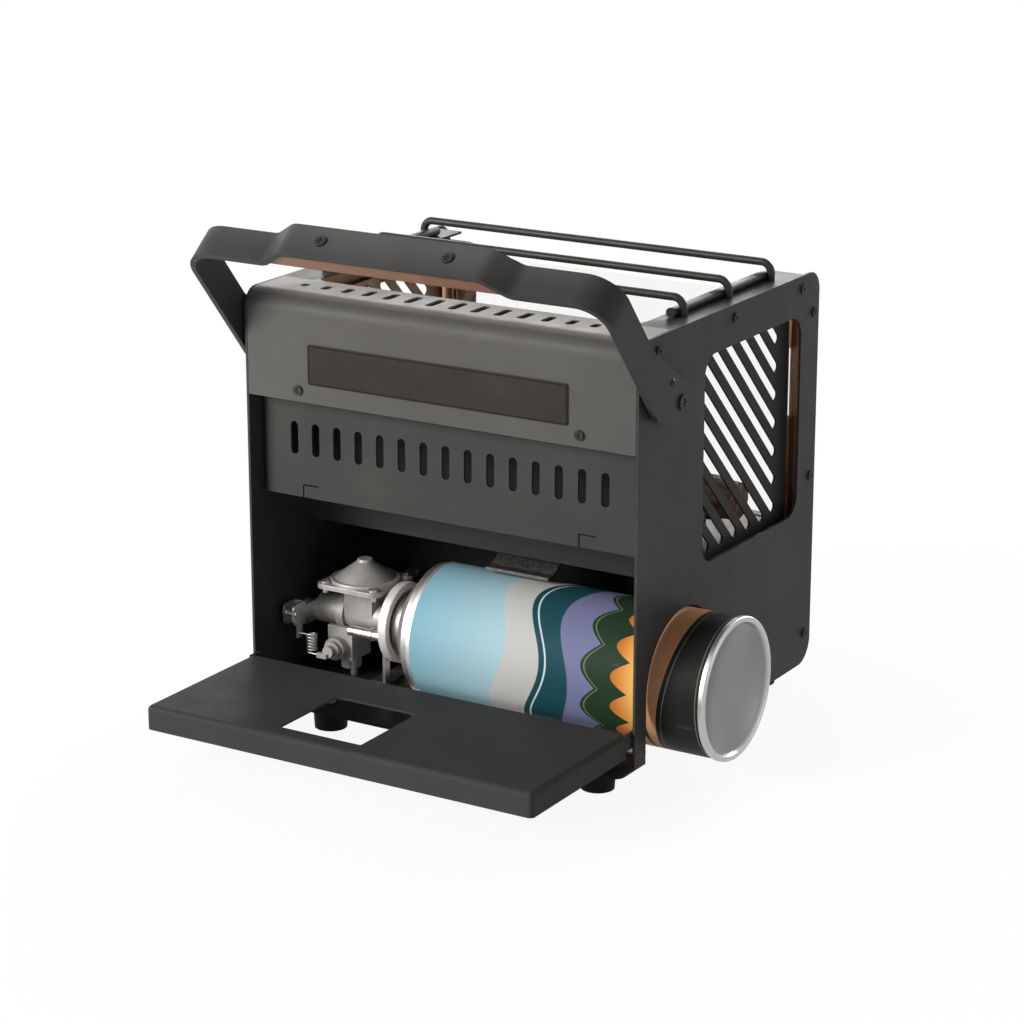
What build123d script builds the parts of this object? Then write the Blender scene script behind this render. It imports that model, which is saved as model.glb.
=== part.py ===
"""Table-top camping gas heater: a sheet-metal firebox over a bay for a standard gas cartridge.

Sizes are in millimetres. Places are given in body coordinates: x from the body's middle plane, y from the
rear edges of the side panels towards the fire, z from the underside of the base. The door opens to the rear.
"""

import os
from math import ceil, cos, floor, pi, radians, sin, sqrt

from build123d import *

os.makedirs("parts", exist_ok=True)

# Body shell
BODY_WIDTH = 210.0
BODY_DEPTH = 176.5
PANEL_HEIGHT = 197.0
SHEET = 1.2
SIDE_GAP = 0.2
REAR_BEND = 9.0
FRONT_TOP_ROUND = 10.0
FRONT_BOTTOM_ROUND = 12.0
TOP_FOLD = 17.5
TOP_FOLD_END = 15.3
FRONT_FOLD = 17.5
FRONT_FOLD_DROP = 8.5
FRONT_FOLD_ROUND = 5.0
WINDOW_REAR = 61.0
WINDOW_FRONT_WALL = 18.5
WINDOW_TOP_WALL = 19.0
WINDOW_SILL = 5.5
WINDOW_ROUND = 10.0

# Fasteners
SCREW_RADIUS = 1.45
SCREW_HEAD_RADIUS = 2.35
SCREW_HEAD = 1.0
SCREW_LENGTH = 5.0
SCREW_PROUD = 2.0
RECESS_SPAN = 0.6
RECESS_SLIT = 0.14
HOLE_FIT = 0.1
HOLE_DEPTH = 4.0
TAB_SCREW = (16.9, 6.8)
GUARD_SCREW_Y = 89.3
GUARD_SCREW_DROP = 6.4
CLIP_SCREW_EDGE = 5.5
CLIP_SCREW_DROP = 20.0
CLIP_SCREW_RISE = 16.2
FASCIA_SCREW_EDGE = 6.8
FASCIA_SCREW_Z = 15.5

# Base and feet
FOOT_HEIGHT = 10.5
FOOT_RADIUS = 8.4
FOOT_TAPER = 0.6
FOOT_BORE = 6.3
FOOT_THREAD = 5.3
BASE_SHEET = 1.5
APRON_REACH = 14.0
APRON_ROUND = 5.0
BASE_FLANGE = 14.0
BASE_FLANGE_ENDS = (4.0, 24.0)
REAR_RIGHT_FOOT = (17.5, -2.5)
REAR_LEFT_FOOT = (45.5, -1.0)
FRONT_FOOT = (19.0, 16.5)

# Rear cover, its vents and the slotted panel below it
COVER_DROP = 50.5
DECK_DEPTH = 30.5
TAB_REAR = 7.0
TAB_FRONT = 8.0
TAB_DROP = 6.0
VENT_PITCH = 12.0
VENT_MARGIN = 18.0
VENT_WIDTH = 4.3
VENT_SHORT = 5.0
VENT_LONG = 14.0
VENT_Y = 19.6
DECK_ROUND = 9.0
PLATE_SIZE = (139.0, 19.0)
PLATE_ROUND = 1.0
PLATE_THICK = 0.6
PLATE_DROP = 32.0
COVER_SCREW_X = 75.4
COVER_SCREW_RISE = 5.5
SPACER_RADIUS = 3.5
SLAT_Y = 8.4
SLAT_DROP = 49.0
SLAT_LAP = 13.5
SLAT_BEND = 5.5
SLAT_FLANGE_END = 24.0
SLAT_SLOT = (16.0, 4.3)
SLAT_SLOT_DROP = 20.5
CATCH_X = 75.0
CATCH_SIZE = (8.8, 6.0)
CUT_WIDTH = 0.8

# Drop-down door
DOOR_SHEET = 1.0
DOOR_LIP = 11.6
DOOR_BEND = 2.5
DOOR_PLAY = 0.4
DOOR_SHUT_GAP = 0.4
DOOR_LAP = 6.9
DOOR_HINGE_EDGE = 4.7
HINGE_Y = 4.0
HINGE_Z = 14.4
HINGE_EAR = 4.0
HINGE_PIN_RADIUS = 1.5
HINGE_PIN_LENGTH = 4.0
NOTCH_X = (-35.0, 9.0)
NOTCH_EDGES = (9.5, 26.1)
NOTCH_ROUND = 5.0

# Gas cartridge, lying along x
CAN_Y = 44.3
CAN_RADIUS = 33.0
CAN_WALL = 0.6
CAN_LENGTH = 160.0
BELLY_DROP = 2.5
RIM_LIP = 0.6
RIM_WIDTH = 3.2
RIM_THICK = 2.4
RIM_ROUNDS = (0.6, 1.0)
DISH_EDGE_DEPTH = 2.0
DISH_EDGE_INSET = 3.6
DISH_DEPTH = 9.0
DISH_WALL = 0.8
SHOULDER_LENGTH = 18.3
SHOULDER_BULGE = (8.5, 8.0)
SHOULDER_WALL = 1.0
SHOULDER_SEAT = 2.0
COLLAR_RADIUS = 15.0
COLLAR_LENGTH = 6.0
COLLAR_WALL = 2.0
CUP_WALL = 1.2
VALVE_CUP_RADIUS = 5.0
VALVE_CUP_LENGTH = 3.2
STEM_RADIUS = 2.0
STEM_LENGTH = 5.0
CAN_HOLE_FIT = 0.5
BELLY_FIT = 6.0
BELLY_END_FIT = 9.5
BELLY_MOUTH = 6.0
RAIL_END_FIT = 6.0
RAIL_MOUTH = 8.0
RAIL_SHEET = 1.2
RAIL_FLANGE = 7.0
RAIL_SETBACK = 1.0
RAIL_PLAY = 0.35

# Regulator, placed from the left panel
BARREL_WALL_GAP = 9.3
BARREL_LENGTH = 44.7
BARREL_RADIUS = 7.5
BARREL_COLLAR = 8.9
BARREL_COLLAR_WIDTH = 4.0
BARREL_COLLAR_X = 13.0
FLANGE_RADIUS = 19.8
FLANGE_LIP = 5.0
FLANGE_LIP_WALL = 3.0
FLANGE_PLATE = 2.0
FLANGE_BORE = 5.0
FLANGE_ROUND = 0.8
BLOCK_ENDS = (17.5, 33.5)
STEM_BORE_FIT = 0.5
STEM_BORE_DEPTH = 8.0
DIAPHRAGM_OFFSET = 25.1
DIAPHRAGM_RISE = 15.7
DIAPHRAGM_SIZE = 36.0
DIAPHRAGM_CORNER = 5.0
DIAPHRAGM_ROUND = 0.5
DIAPHRAGM_THICK = 2.4
DIAPHRAGM_SCREW_INSET = 4.0
DIAPHRAGM_SCREW_PROUD = 2.6
DOME_RADIUS = 17.0
DOME_RISE = 10.6
DOME_BRIM = (2.2, 1.4)
DOME_CAP = (3.8, 1.2)
DOME_ROUNDS = (0.5, 0.8, 1.0, 0.6)
PILOT_DROP = 5.0
PILOT_OUT = 4.0
PILOT_RADIUS = 2.6
PILOT_NUT = (3.1, 1.6)
PILOT_NUT_BACK = 9.0
VALVE_OFFSET = 15.5
VALVE_DROP = 15.5
VALVE_LEFT = 6.0
VALVE_RIGHT = 8.0
VALVE_FRONT = 6.0
VALVE_BACK = 10.0
VALVE_TOP_DROP = 5.0
VALVE_UNDER = 6.0
VALVE_BARRELS = ((5.6, 4.0), (4.2, 2.4), (2.8, 3.2))
VALVE_SUMP_RADIUS = 5.0
VALVE_SUMP_PLACE = (2.0, 2.0)
VALVE_SUMP_GAP = 2.0
LEVER_Y = 21.5
LEVER_RISE = 2.0
LEVER_SHEET = 1.2
LEVER_WIDTH = 6.6
CHEEK_SIZE = (10.0, 11.0)
CHEEK_ROUND = 3.0
CHEEK_SHIFT = (3.0, -0.5)
LEVER_PIN_RADIUS = 1.55
LEVER_PIN_FIT = 0.05
LEVER_PIN_PROUD = 0.6
LEVER_ARM_HALF = 5.0
LEVER_ARM_PAST = 6.0
SPINDLE_CLEAR = 0.4
HOOK_HALF = 2.0
SPRING_OFFSET = 5.0
SPRING_Y = 27.0
SPRING_LOW_Z = 13.0
SPRING_TURNS = 6
SPRING_PITCH = 1.55
SPRING_RADIUS = 2.4
SPRING_WIRE = 0.9
SPRING_SAMPLES = 600
LUG_OFFSET = 4.9
LUG_HALF = 1.2
STAND_SHEET = 1.5
STAND_HALF = 13.0
STAND_LEG = 4.0
STAND_TOP_DROP = 10.0
STAND_FOOT = (9.0, 1.2)
POST_RADIUS = 1.8
POST_OFFSET = (7.0, 7.0)

# Igniter and control knob on the left panel
PIEZO_SETBACK = 14.7
PIEZO_Z = 28.0
PIEZO_HEAD = (6.5, 8.0)
PIEZO_BODY = (5.0, 20.0)
KNOB_REACH = 20.0
KNOB_RADIUS = 16.0
KNOB_SKIRT = 3.0
KNOB_SKIRT_STEP = 2.0
KNOB_ROUND = 1.5
KNOB_FLUTES = 18
KNOB_FLUTE_RADIUS = 1.1
KNOB_FLUTE_INSET = 1.6
KNOB_MARK = (1.4, 8.0, 0.6)
KNOB_MARK_START = 3.0
KNOB_STANDOFF = 1.6
KNOB_COVER = 6.0
SPINDLE_RADIUS = 3.0
SPINDLE_DEPTH = 12.0
SPINDLE_END_GAP = 1.0
SHAFT_FIT = 0.06

# Handle
HANDLE_LEAN = 39.5
PIVOT_Y = 30.0
PIVOT_DROP = 32.0
ARM_GAP = 2.4
ARM_PLAY = 0.2
STRIP_THICK = 2.7
STRIP_WIDTH = 17.0
STRIP_FRONT = -2.1
HANDLE_REACH = 88.7
HANDLE_ROUND = 14.0
ARM_FOOT = 38.0
JOGGLE_RISE = 9.0
JOGGLE_LOW_X = 64.0
JOGGLE_HIGH_X = 51.5
JOGGLE_ROUND = 8.0
EYE_RADIUS = 9.0
EYE_ROUND = 3.0
HEEL_RISE = 10.4
BOLT_RADIUS = 3.0
BOLT_HEAD_RADIUS = 3.7
BOLT_PAST_NUT = 1.0
WASHER_RADIUS = 7.5
NUT_RADIUS = 5.0
NUT_THICK = 3.0
LINER_THICK = 8.6
LINER_TIP = 1.0
LINER_END_GAP = 0.4
LINER_WIDTH = 15.0
LINER_ROUND = 1.2
GRIP_SCREW_X = 33.0
GRIP_HOLE = 3.0
GRIP_THREAD = 2.4
GRIP_HEAD_RADIUS = 2.7
DETENT_RISE = 14.1
DETENT_RADIUS = 2.2
DETENT_SINK = 1.1

# Pot rack
WIRE_RADIUS = 1.9
RACK_ROD_RADIUS = 2.3
RACK_ROD_EDGE = 12.0
RACK_SETBACK = 11.5
RACK_ROD_TAIL = 5.5
RACK_RISE = 8.5
RACK_BEND = 5.0
WELD = 0.5

# Firebox, guards and glass
BAY_HEADROOM = 10.5
LINER_SHEET = 1.0
HEARTH_REAR = 50.0
HEARTH_LEDGE = 1.5
BACK_TOP_Y = 33.0
BACK_TOP_DROP = 1.6
GUARD_WALL_GAP = 5.8
GUARD_BEHIND = 8.0
GUARD_SHORT = 1.0
GUARD_DROP = 13.0
GUARD_SILL = 2.0
GUARD_TAB_FRONT = 8.0
GUARD_TAB_ABOVE = 4.0
GUARD_SLOT_WIDTH = 4.9
GUARD_SLOT_RISE = 13.8
GUARD_SLOT_ENDS = (11.0, 11.8)
GUARD_SLOT_BOTTOM = 6.0
GUARD_SLOT_TOP = 3.2
GLASS_SETBACK = 3.5
GLASS_THICK = 4.0
GLASS_DROP = 11.0
GLASS_SIDE_GAP = 6.2
GLASS_ROUND = 4.0
GLASS_ARRIS = 0.4
CLIP_SHEET = 0.8
CLIP_FIT = 0.3
CLIP_REACH = 5.0
UPPER_CLIP = (16.5, 5.4)
LOWER_CLIP = (19.7, 30.0)
DIVIDER_LIP = 9.0
DIVIDER_FIT = 0.4
FASCIA_SETBACK = 3.5
FASCIA_RETURN = 12.0
FASCIA_TAB = (7.0, 8.0)
FASCIA_SLOT = (30.0, 4.0)
FASCIA_SLOT_PITCH = (40.0, 10.0)
FASCIA_SLOT_ROWS = 3
FASCIA_SLOT_COLUMNS = 4
FASCIA_SLOT_Z = 32.0

# Burner and hearth bed
BED_SHIFT = 2.0
BED_HALF = 42.0
BURNER_SETBACK = 2.5
BURNER_RISE = 10.0
BURNER_RADIUS = 7.0
BURNER_WALL = 1.0
BURNER_END_GAP = 18.0
PORT_PITCH = 5.6
PORT_MARGIN = 10.0
PORT_RADIUS = 0.9
MIXER_END = 10.0
MIXER_RADIUS = 8.0
MIXER_DROP = 26.0
MIXER_FIT = 0.4
BURNER_STANDS = (52.0, 16.0)
BURNER_STAND_HALF = (5.0, 9.0)
BURNER_STAND_SINK = 2.0
BURNER_STAND_FIT = 0.05
LOG_RADIUS = 12.5
LOG_LIFT = 4.5
LOG_GIRTHS = ((-1, 0.86), (-0.5, 1), (0, 0.9), (0.72, 0.98), (1, 0.8))
CROSS_GIRTHS = ((-1, 0.84), (-0.58, 0.98), (0, 0.92), (0.58, 0.98), (1, 0.82))
LOG_BULGE = 1.0
LOG_BULGE_SHARE = -0.5
LOG_REST = 0.2
REAR_LOG_BACK = 21.5
REAR_LOG_X = 6.0
REAR_LOG_SHORT = 20.0
REAR_LOG_SKEW = 0.04
FRONT_LOG_AHEAD = 26.5
FRONT_LOG_X = 4.0
FRONT_LOG_LONG = 12.0
FRONT_LOG_SKEW = -0.05
CROSS_LOG_LENGTH = 78.0
CROSS_LOG_RADIUS = 6.5
GRATE_ENDS = (36.0, 30.0)
GRATE_HALF = 2.0
GRATE_BAR = 2.0
GRATE_HORN = (2.0, 17.0)
SEAT_HALF = 6.0
SEAT_GAP = 0.1
ELECTRODE_BESIDE = 20.0
ELECTRODE_AHEAD = 10.8
ELECTRODE_BASE = (2.2, 12.0)
ELECTRODE_TIP = (0.8, 4.0)
GAS_PIPE_RADIUS = 2.5
GAS_PIPE_RISE = 9.5
GAS_PIPE_BEND = 8.0
GAS_PIPE_FIT = 0.6
INJECTOR_DROP = 6.0
INJECTOR_HEX = (4.6, 4.5)
INJECTOR_NOSE = (2.6, 5.0)
INJECTOR_JET = (0.5, 3.5)
HEAT_PLATE_X = (0.0, 34.0)
HEAT_PLATE_Y = (43.0, 48.0, 58.0, 74.0)
HEAT_PLATE_SHEET = 1.4
HEAT_PLATE_BEND = 2.0
HEAT_PLATE_GAP = 1.4

# Places worked out from the driving dimensions
HALF_WIDTH = BODY_WIDTH / 2
INNER_HALF = HALF_WIDTH - SHEET
FIT_HALF = INNER_HALF - SIDE_GAP
CAN_Z = CAN_RADIUS - BELLY_DROP
RIM_RADIUS = CAN_RADIUS + RIM_LIP
SHOULDER_RIM = CAN_RADIUS - RIM_LIP
CAN_HOLE_RADIUS = RIM_RADIUS + CAN_HOLE_FIT
BARREL_END_X = BARREL_WALL_GAP - INNER_HALF
FLANGE_BACK_X = BARREL_END_X + BARREL_LENGTH
COLLAR_X = FLANGE_BACK_X + STEM_LENGTH
CAN_NECK_X = COLLAR_X + SHOULDER_LENGTH
CAN_END_X = CAN_NECK_X + CAN_LENGTH
BELLY_HALF = sqrt(RIM_RADIUS**2 - (CAN_Z - BASE_SHEET) ** 2) + BELLY_FIT
BELLY_LEFT_X = CAN_NECK_X - BELLY_END_FIT
KNOB_END_X = -(HALF_WIDTH + KNOB_REACH)
HEARTH_Z = CAN_Z + CAN_RADIUS + BAY_HEADROOM
HEARTH_UNDER = HEARTH_Z - LINER_SHEET
WINDOW_FRONT = BODY_DEPTH - WINDOW_FRONT_WALL
WINDOW_TOP = PANEL_HEIGHT - WINDOW_TOP_WALL
WINDOW_BOTTOM = HEARTH_Z + WINDOW_SILL
COVER_BOTTOM = PANEL_HEIGHT - COVER_DROP
COVER_SCREW_Z = COVER_BOTTOM + COVER_SCREW_RISE
SLAT_BOTTOM = COVER_BOTTOM - SLAT_DROP
SLAT_TOP = COVER_BOTTOM + SLAT_LAP
VENT_COUNT = 2 * floor((INNER_HALF - VENT_MARGIN) / VENT_PITCH) + 1
DOOR_HALF = FIT_HALF - DOOR_PLAY
DOOR_REACH = SLAT_BOTTOM + DOOR_LAP - HINGE_Z - HINGE_Y
DOOR_TOP = HINGE_Z + SLAT_Y - DOOR_SHUT_GAP - HINGE_Y
NOTCH_Y = (NOTCH_EDGES[0] - DOOR_REACH, -DOOR_HINGE_EDGE - NOTCH_EDGES[1])
X_MID = -(CAN_END_X + KNOB_END_X) / 2
Y_REAR = (DOOR_REACH - BODY_DEPTH) / 2
PIVOT_Z = PANEL_HEIGHT - PIVOT_DROP
ARM_OUT = HALF_WIDTH + ARM_GAP + STRIP_THICK
LEAN_SIN = sin(radians(HANDLE_LEAN))
LEAN_COS = cos(radians(HANDLE_LEAN))
BAND_X = ARM_OUT - STRIP_THICK / 2
BAND_LOW = HANDLE_REACH - STRIP_THICK / 2
BAND_HIGH = BAND_LOW + JOGGLE_RISE
STRIP_REAR = STRIP_FRONT - STRIP_WIDTH
LINER_TOP = BAND_HIGH - STRIP_THICK / 2
LINER_BOTTOM = LINER_TOP - LINER_THICK
LINER_TIP_Z = LINER_BOTTOM + LINER_TIP
JOGGLE_RUN = JOGGLE_LOW_X - JOGGLE_HIGH_X
JOGGLE_LENGTH = sqrt(JOGGLE_RUN**2 + JOGGLE_RISE**2)
LINER_TOP_X = JOGGLE_HIGH_X - STRIP_THICK / 2 * (JOGGLE_LENGTH - JOGGLE_RUN) / JOGGLE_RISE - LINER_END_GAP
LINER_END_X = LINER_TOP_X + (LINER_TOP - LINER_TIP_Z) * JOGGLE_RUN / JOGGLE_RISE
DECK_CORNER_X = HALF_WIDTH - TOP_FOLD - SIDE_GAP
RACK_ROD_X = HALF_WIDTH - RACK_ROD_EDGE
RACK_LEG_X = RACK_ROD_X + RACK_ROD_RADIUS + WIRE_RADIUS - WELD
RACK_ROD_Y = (WINDOW_REAR - RACK_SETBACK, WINDOW_FRONT - RACK_SETBACK)
RACK_WIRE_Y = (RACK_ROD_Y[0] + RACK_ROD_TAIL, sum(RACK_ROD_Y) / 2, RACK_ROD_Y[1] - RACK_ROD_TAIL)
RACK_WIRE_Z = PANEL_HEIGHT + RACK_RISE
GUARD_X = INNER_HALF - GUARD_WALL_GAP
GUARD_REAR = WINDOW_REAR - GUARD_BEHIND
GUARD_FRONT = WINDOW_FRONT - GUARD_SHORT
GUARD_TOP = PANEL_HEIGHT - GUARD_DROP
GUARD_BOTTOM = HEARTH_Z + GUARD_SILL
GLASS_REAR = WINDOW_FRONT + GLASS_SETBACK
GLASS_FRONT = GLASS_REAR + GLASS_THICK
GLASS_TOP = PANEL_HEIGHT - GLASS_DROP
GLASS_HALF = INNER_HALF - GLASS_SIDE_GAP
HEARTH_FRONT = GLASS_FRONT + HEARTH_LEDGE
FASCIA_Y = BODY_DEPTH - FASCIA_SETBACK
BED_MID = (HEARTH_REAR + GLASS_REAR) / 2 + BED_SHIFT
BURNER_Y = BED_MID - BURNER_SETBACK
BURNER_Z = HEARTH_Z + BURNER_RISE
BURNER_HALF = GUARD_X - BURNER_END_GAP
PORT_COUNT = floor(2 * (BURNER_HALF - PORT_MARGIN) / PORT_PITCH)
MIXER_X = MIXER_END - BURNER_HALF
MIXER_FOOT_Z = BURNER_Z - MIXER_DROP
GAS_PIPE_Z = CAN_Z + GAS_PIPE_RISE
INJECTOR_Z = MIXER_FOOT_Z - INJECTOR_DROP
DIVIDER_Y = (CAN_Y + CAN_RADIUS + BURNER_Y - MIXER_RADIUS - SHEET) / 2
LOG_Z = HEARTH_Z + LOG_RADIUS + LOG_LIFT
REAR_LOG_Y = BURNER_Y - REAR_LOG_BACK
FRONT_LOG_Y = BURNER_Y + FRONT_LOG_AHEAD
REAR_LOG_LENGTH = 2 * BURNER_HALF - REAR_LOG_SHORT
FRONT_LOG_LENGTH = 2 * BURNER_HALF + FRONT_LOG_LONG
GRATE_X = (GRATE_ENDS[0] - BURNER_HALF, BURNER_HALF - GRATE_ENDS[1])
GRATE_Y = (BED_MID - BED_HALF, BED_MID + BED_HALF)
ELECTRODE_X = GRATE_X[1] - ELECTRODE_BESIDE
BURNER_STAND_X = (BURNER_STANDS[0] - BURNER_HALF, BURNER_HALF - BURNER_STANDS[1])
DIAPHRAGM_X = BARREL_END_X + DIAPHRAGM_OFFSET
DIAPHRAGM_Z = CAN_Z + DIAPHRAGM_RISE
DOME_SEAT = DIAPHRAGM_Z + DIAPHRAGM_THICK
VALVE_X = BARREL_END_X + VALVE_OFFSET
VALVE_Z = CAN_Z - VALVE_DROP
VALVE_REAR = CAN_Y - VALVE_BACK
LEVER_FACE_X = BARREL_END_X
LEVER_Z = CAN_Z + LEVER_RISE
SPRING_X = BARREL_END_X + SPRING_OFFSET
SPRING_HIGH_Z = SPRING_LOW_Z + SPRING_TURNS * SPRING_PITCH
LUG_FACE_X = SPRING_X + LUG_OFFSET
HOOK_Y = SPRING_Y - SPRING_RADIUS
TAB_SCREW_SPOT = (TAB_SCREW[0], PANEL_HEIGHT - TAB_SCREW[1])
GUARD_SCREW_Z = PANEL_HEIGHT - GUARD_SCREW_DROP
GUARD_SCREWS = [(GUARD_SCREW_Y, GUARD_SCREW_Z), (WINDOW_FRONT, GUARD_SCREW_Z)]
CLIP_SCREW_Y = BODY_DEPTH - CLIP_SCREW_EDGE
UPPER_CLIP_SCREW = (CLIP_SCREW_Y, PANEL_HEIGHT - CLIP_SCREW_DROP)
LOWER_CLIP_SCREW = (CLIP_SCREW_Y, WINDOW_BOTTOM + CLIP_SCREW_RISE)
FASCIA_SCREW = (BODY_DEPTH - FASCIA_SCREW_EDGE, FASCIA_SCREW_Z)
SIDE_SCREWS = [TAB_SCREW_SPOT, *GUARD_SCREWS, UPPER_CLIP_SCREW, LOWER_CLIP_SCREW, FASCIA_SCREW]
FOOT_SPOTS = [
    (HALF_WIDTH - REAR_RIGHT_FOOT[0], REAR_RIGHT_FOOT[1]),
    (REAR_LEFT_FOOT[0] - HALF_WIDTH, REAR_LEFT_FOOT[1]),
    (FRONT_FOOT[0] - HALF_WIDTH, BODY_DEPTH - FRONT_FOOT[1]),
    (HALF_WIDTH - FRONT_FOOT[0], BODY_DEPTH - FRONT_FOOT[1]),
]
SIDES = {"left": -1, "right": 1}


def spot(x, y, z):
    """Body coordinates to the part's frame, whose origin is on the floor under the middle of the box."""
    return (X_MID + x, Y_REAR + y, FOOT_HEIGHT + z)


def side_plane(x):
    """Plane across the body at x, drawn in y and z."""
    return Plane(origin=spot(x, 0, 0), x_dir=(0, 1, 0), z_dir=(1, 0, 0))


def rear_plane(y):
    """Plane seen from the rear at y, drawn in x and z."""
    return Plane(origin=spot(0, y, 0), x_dir=(1, 0, 0), z_dir=(0, -1, 0))


def flat_plane(z):
    """Level plane at z, drawn in x and y."""
    return Plane(origin=spot(0, 0, z))


def slab(low, high, mode=Mode.ADD):
    """Block between two opposite corners."""
    first = Vector(*spot(*low))
    last = Vector(*spot(*high))
    size = last - first
    with Locations((first + last) * 0.5):
        Box(abs(size.X), abs(size.Y), abs(size.Z), mode=mode)


def rod(start, toward, radius, length, mode=Mode.ADD):
    """Round bar from a start point along a direction."""
    with Locations(Plane(origin=spot(*start), z_dir=toward)):
        Cylinder(radius, length, align=(Align.CENTER, Align.CENTER, Align.MIN), mode=mode)


def screw_hole(start, toward):
    """Clearance hole for a screw, from a start point along a direction."""
    rod(start, toward, SCREW_RADIUS + HOLE_FIT, HOLE_DEPTH, mode=Mode.SUBTRACT)


def screw(head_seat, toward, length=SCREW_LENGTH, radius=SCREW_RADIUS, head_radius=SCREW_HEAD_RADIUS):
    """Cross-head screw whose head sits on the seat and whose shank runs along the direction."""
    seat = Plane(origin=spot(*head_seat), z_dir=toward)
    span = 2 * head_radius * RECESS_SPAN
    slit = 2 * head_radius * RECESS_SLIT
    with Locations(seat):
        Cylinder(radius, length, align=(Align.CENTER, Align.CENTER, Align.MIN))
        Cylinder(head_radius, SCREW_HEAD, align=(Align.CENTER, Align.CENTER, Align.MAX))
    with Locations(seat.offset(-SCREW_HEAD)):
        Box(span, slit, SCREW_HEAD, mode=Mode.SUBTRACT)
        Box(slit, span, SCREW_HEAD, mode=Mode.SUBTRACT)


def keep(piece, name):
    """Label a finished piece and write it."""
    piece.part.label = name
    export_step(piece.part, f"parts/{name}.step")


def side_panel(side):
    """Side wall: window, screw holes, inward folds at the top and the front."""
    with BuildPart() as panel:
        with BuildSketch(side_plane(side * INNER_HALF)):
            with BuildLine():
                FilletPolyline(
                    (0, 0),
                    (BODY_DEPTH, 0),
                    (BODY_DEPTH, PANEL_HEIGHT),
                    (0, PANEL_HEIGHT),
                    radius=[0, FRONT_BOTTOM_ROUND, FRONT_TOP_ROUND, REAR_BEND],
                    close=True,
                )
            make_face()
            with Locations(((WINDOW_REAR + WINDOW_FRONT) / 2, (WINDOW_BOTTOM + WINDOW_TOP) / 2)):
                RectangleRounded(
                    WINDOW_FRONT - WINDOW_REAR, WINDOW_TOP - WINDOW_BOTTOM, WINDOW_ROUND, mode=Mode.SUBTRACT
                )
            with Locations(*SIDE_SCREWS):
                Circle(SCREW_RADIUS + HOLE_FIT, mode=Mode.SUBTRACT)
            with Locations((PIVOT_Y, PIVOT_Z)):
                Circle(BOLT_RADIUS + HOLE_FIT, mode=Mode.SUBTRACT)
            with Locations((HINGE_Y, HINGE_Z)):
                Circle(HINGE_PIN_RADIUS, mode=Mode.SUBTRACT)
            if side > 0:
                with Locations((CAN_Y, CAN_Z)):
                    Circle(CAN_HOLE_RADIUS, mode=Mode.SUBTRACT)
                with Locations((CAN_Y, CAN_Z / 2)):
                    Rectangle(2 * CAN_HOLE_RADIUS, CAN_Z, mode=Mode.SUBTRACT)
            else:
                with Locations((CAN_Y, CAN_Z)):
                    Circle(SPINDLE_RADIUS + SHAFT_FIT, mode=Mode.SUBTRACT)
        extrude(amount=side * SHEET)
        slab(
            (side * INNER_HALF, DECK_DEPTH + SIDE_GAP, PANEL_HEIGHT - SHEET),
            (side * (HALF_WIDTH - TOP_FOLD), BODY_DEPTH - TOP_FOLD_END, PANEL_HEIGHT),
        )
        with BuildSketch(rear_plane(BODY_DEPTH)):
            with BuildLine():
                FilletPolyline(
                    (side * INNER_HALF, FRONT_BOTTOM_ROUND),
                    (side * (HALF_WIDTH - FRONT_FOLD), FRONT_BOTTOM_ROUND),
                    (side * (HALF_WIDTH - FRONT_FOLD), PANEL_HEIGHT - FRONT_FOLD_DROP),
                    (side * INNER_HALF, PANEL_HEIGHT - FRONT_FOLD_DROP),
                    radius=[0, 0, FRONT_FOLD_ROUND, 0],
                    close=True,
                )
            make_face()
        extrude(amount=SHEET)
    return panel


for name, side in SIDES.items():
    keep(side_panel(side), f"{name}_side_panel")


# Top and rear cover: one sheet bent over the rear edge, with a lens-shaped row of vents
with BuildPart() as top_rear_cover:
    with BuildSketch(side_plane(-FIT_HALF)):
        with BuildLine():
            FilletPolyline(
                (0, COVER_BOTTOM),
                (0, PANEL_HEIGHT),
                (DECK_DEPTH, PANEL_HEIGHT),
                (DECK_DEPTH, PANEL_HEIGHT - SHEET),
                (SHEET, PANEL_HEIGHT - SHEET),
                (SHEET, COVER_BOTTOM),
                radius=[0, REAR_BEND, 0, 0, REAR_BEND - SHEET, 0],
                close=True,
            )
        make_face()
    extrude(amount=2 * FIT_HALF)
    with BuildSketch(flat_plane(PANEL_HEIGHT)):
        for index in range(VENT_COUNT):
            along = index - (VENT_COUNT - 1) / 2
            swell = cos(pi * along / (VENT_COUNT - 1))
            with Locations((along * VENT_PITCH, VENT_Y)):
                SlotOverall(VENT_SHORT + (VENT_LONG - VENT_SHORT) * swell, VENT_WIDTH, rotation=90)
    extrude(amount=-2 * SHEET, mode=Mode.SUBTRACT)
    with BuildSketch(flat_plane(PANEL_HEIGHT)):
        for side in SIDES.values():
            with Locations((side * (DECK_CORNER_X - DECK_ROUND / 2), DECK_DEPTH + DECK_ROUND / 2)):
                Rectangle(DECK_ROUND, DECK_ROUND)
            with Locations((side * (DECK_CORNER_X - DECK_ROUND), DECK_DEPTH + DECK_ROUND)):
                Circle(DECK_ROUND, mode=Mode.SUBTRACT)
    extrude(amount=-SHEET)
    for side in SIDES.values():
        tab_y, tab_z = TAB_SCREW_SPOT
        slab(
            (side * FIT_HALF, tab_y - TAB_REAR, tab_z - TAB_DROP),
            (side * (FIT_HALF - SHEET), tab_y + TAB_FRONT, PANEL_HEIGHT - SHEET),
        )
        screw_hole((side * INNER_HALF, tab_y, tab_z), (-side, 0, 0))
        screw_hole((side * COVER_SCREW_X, -SHEET, COVER_SCREW_Z), (0, 1, 0))
keep(top_rear_cover, "top_rear_cover")

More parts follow.
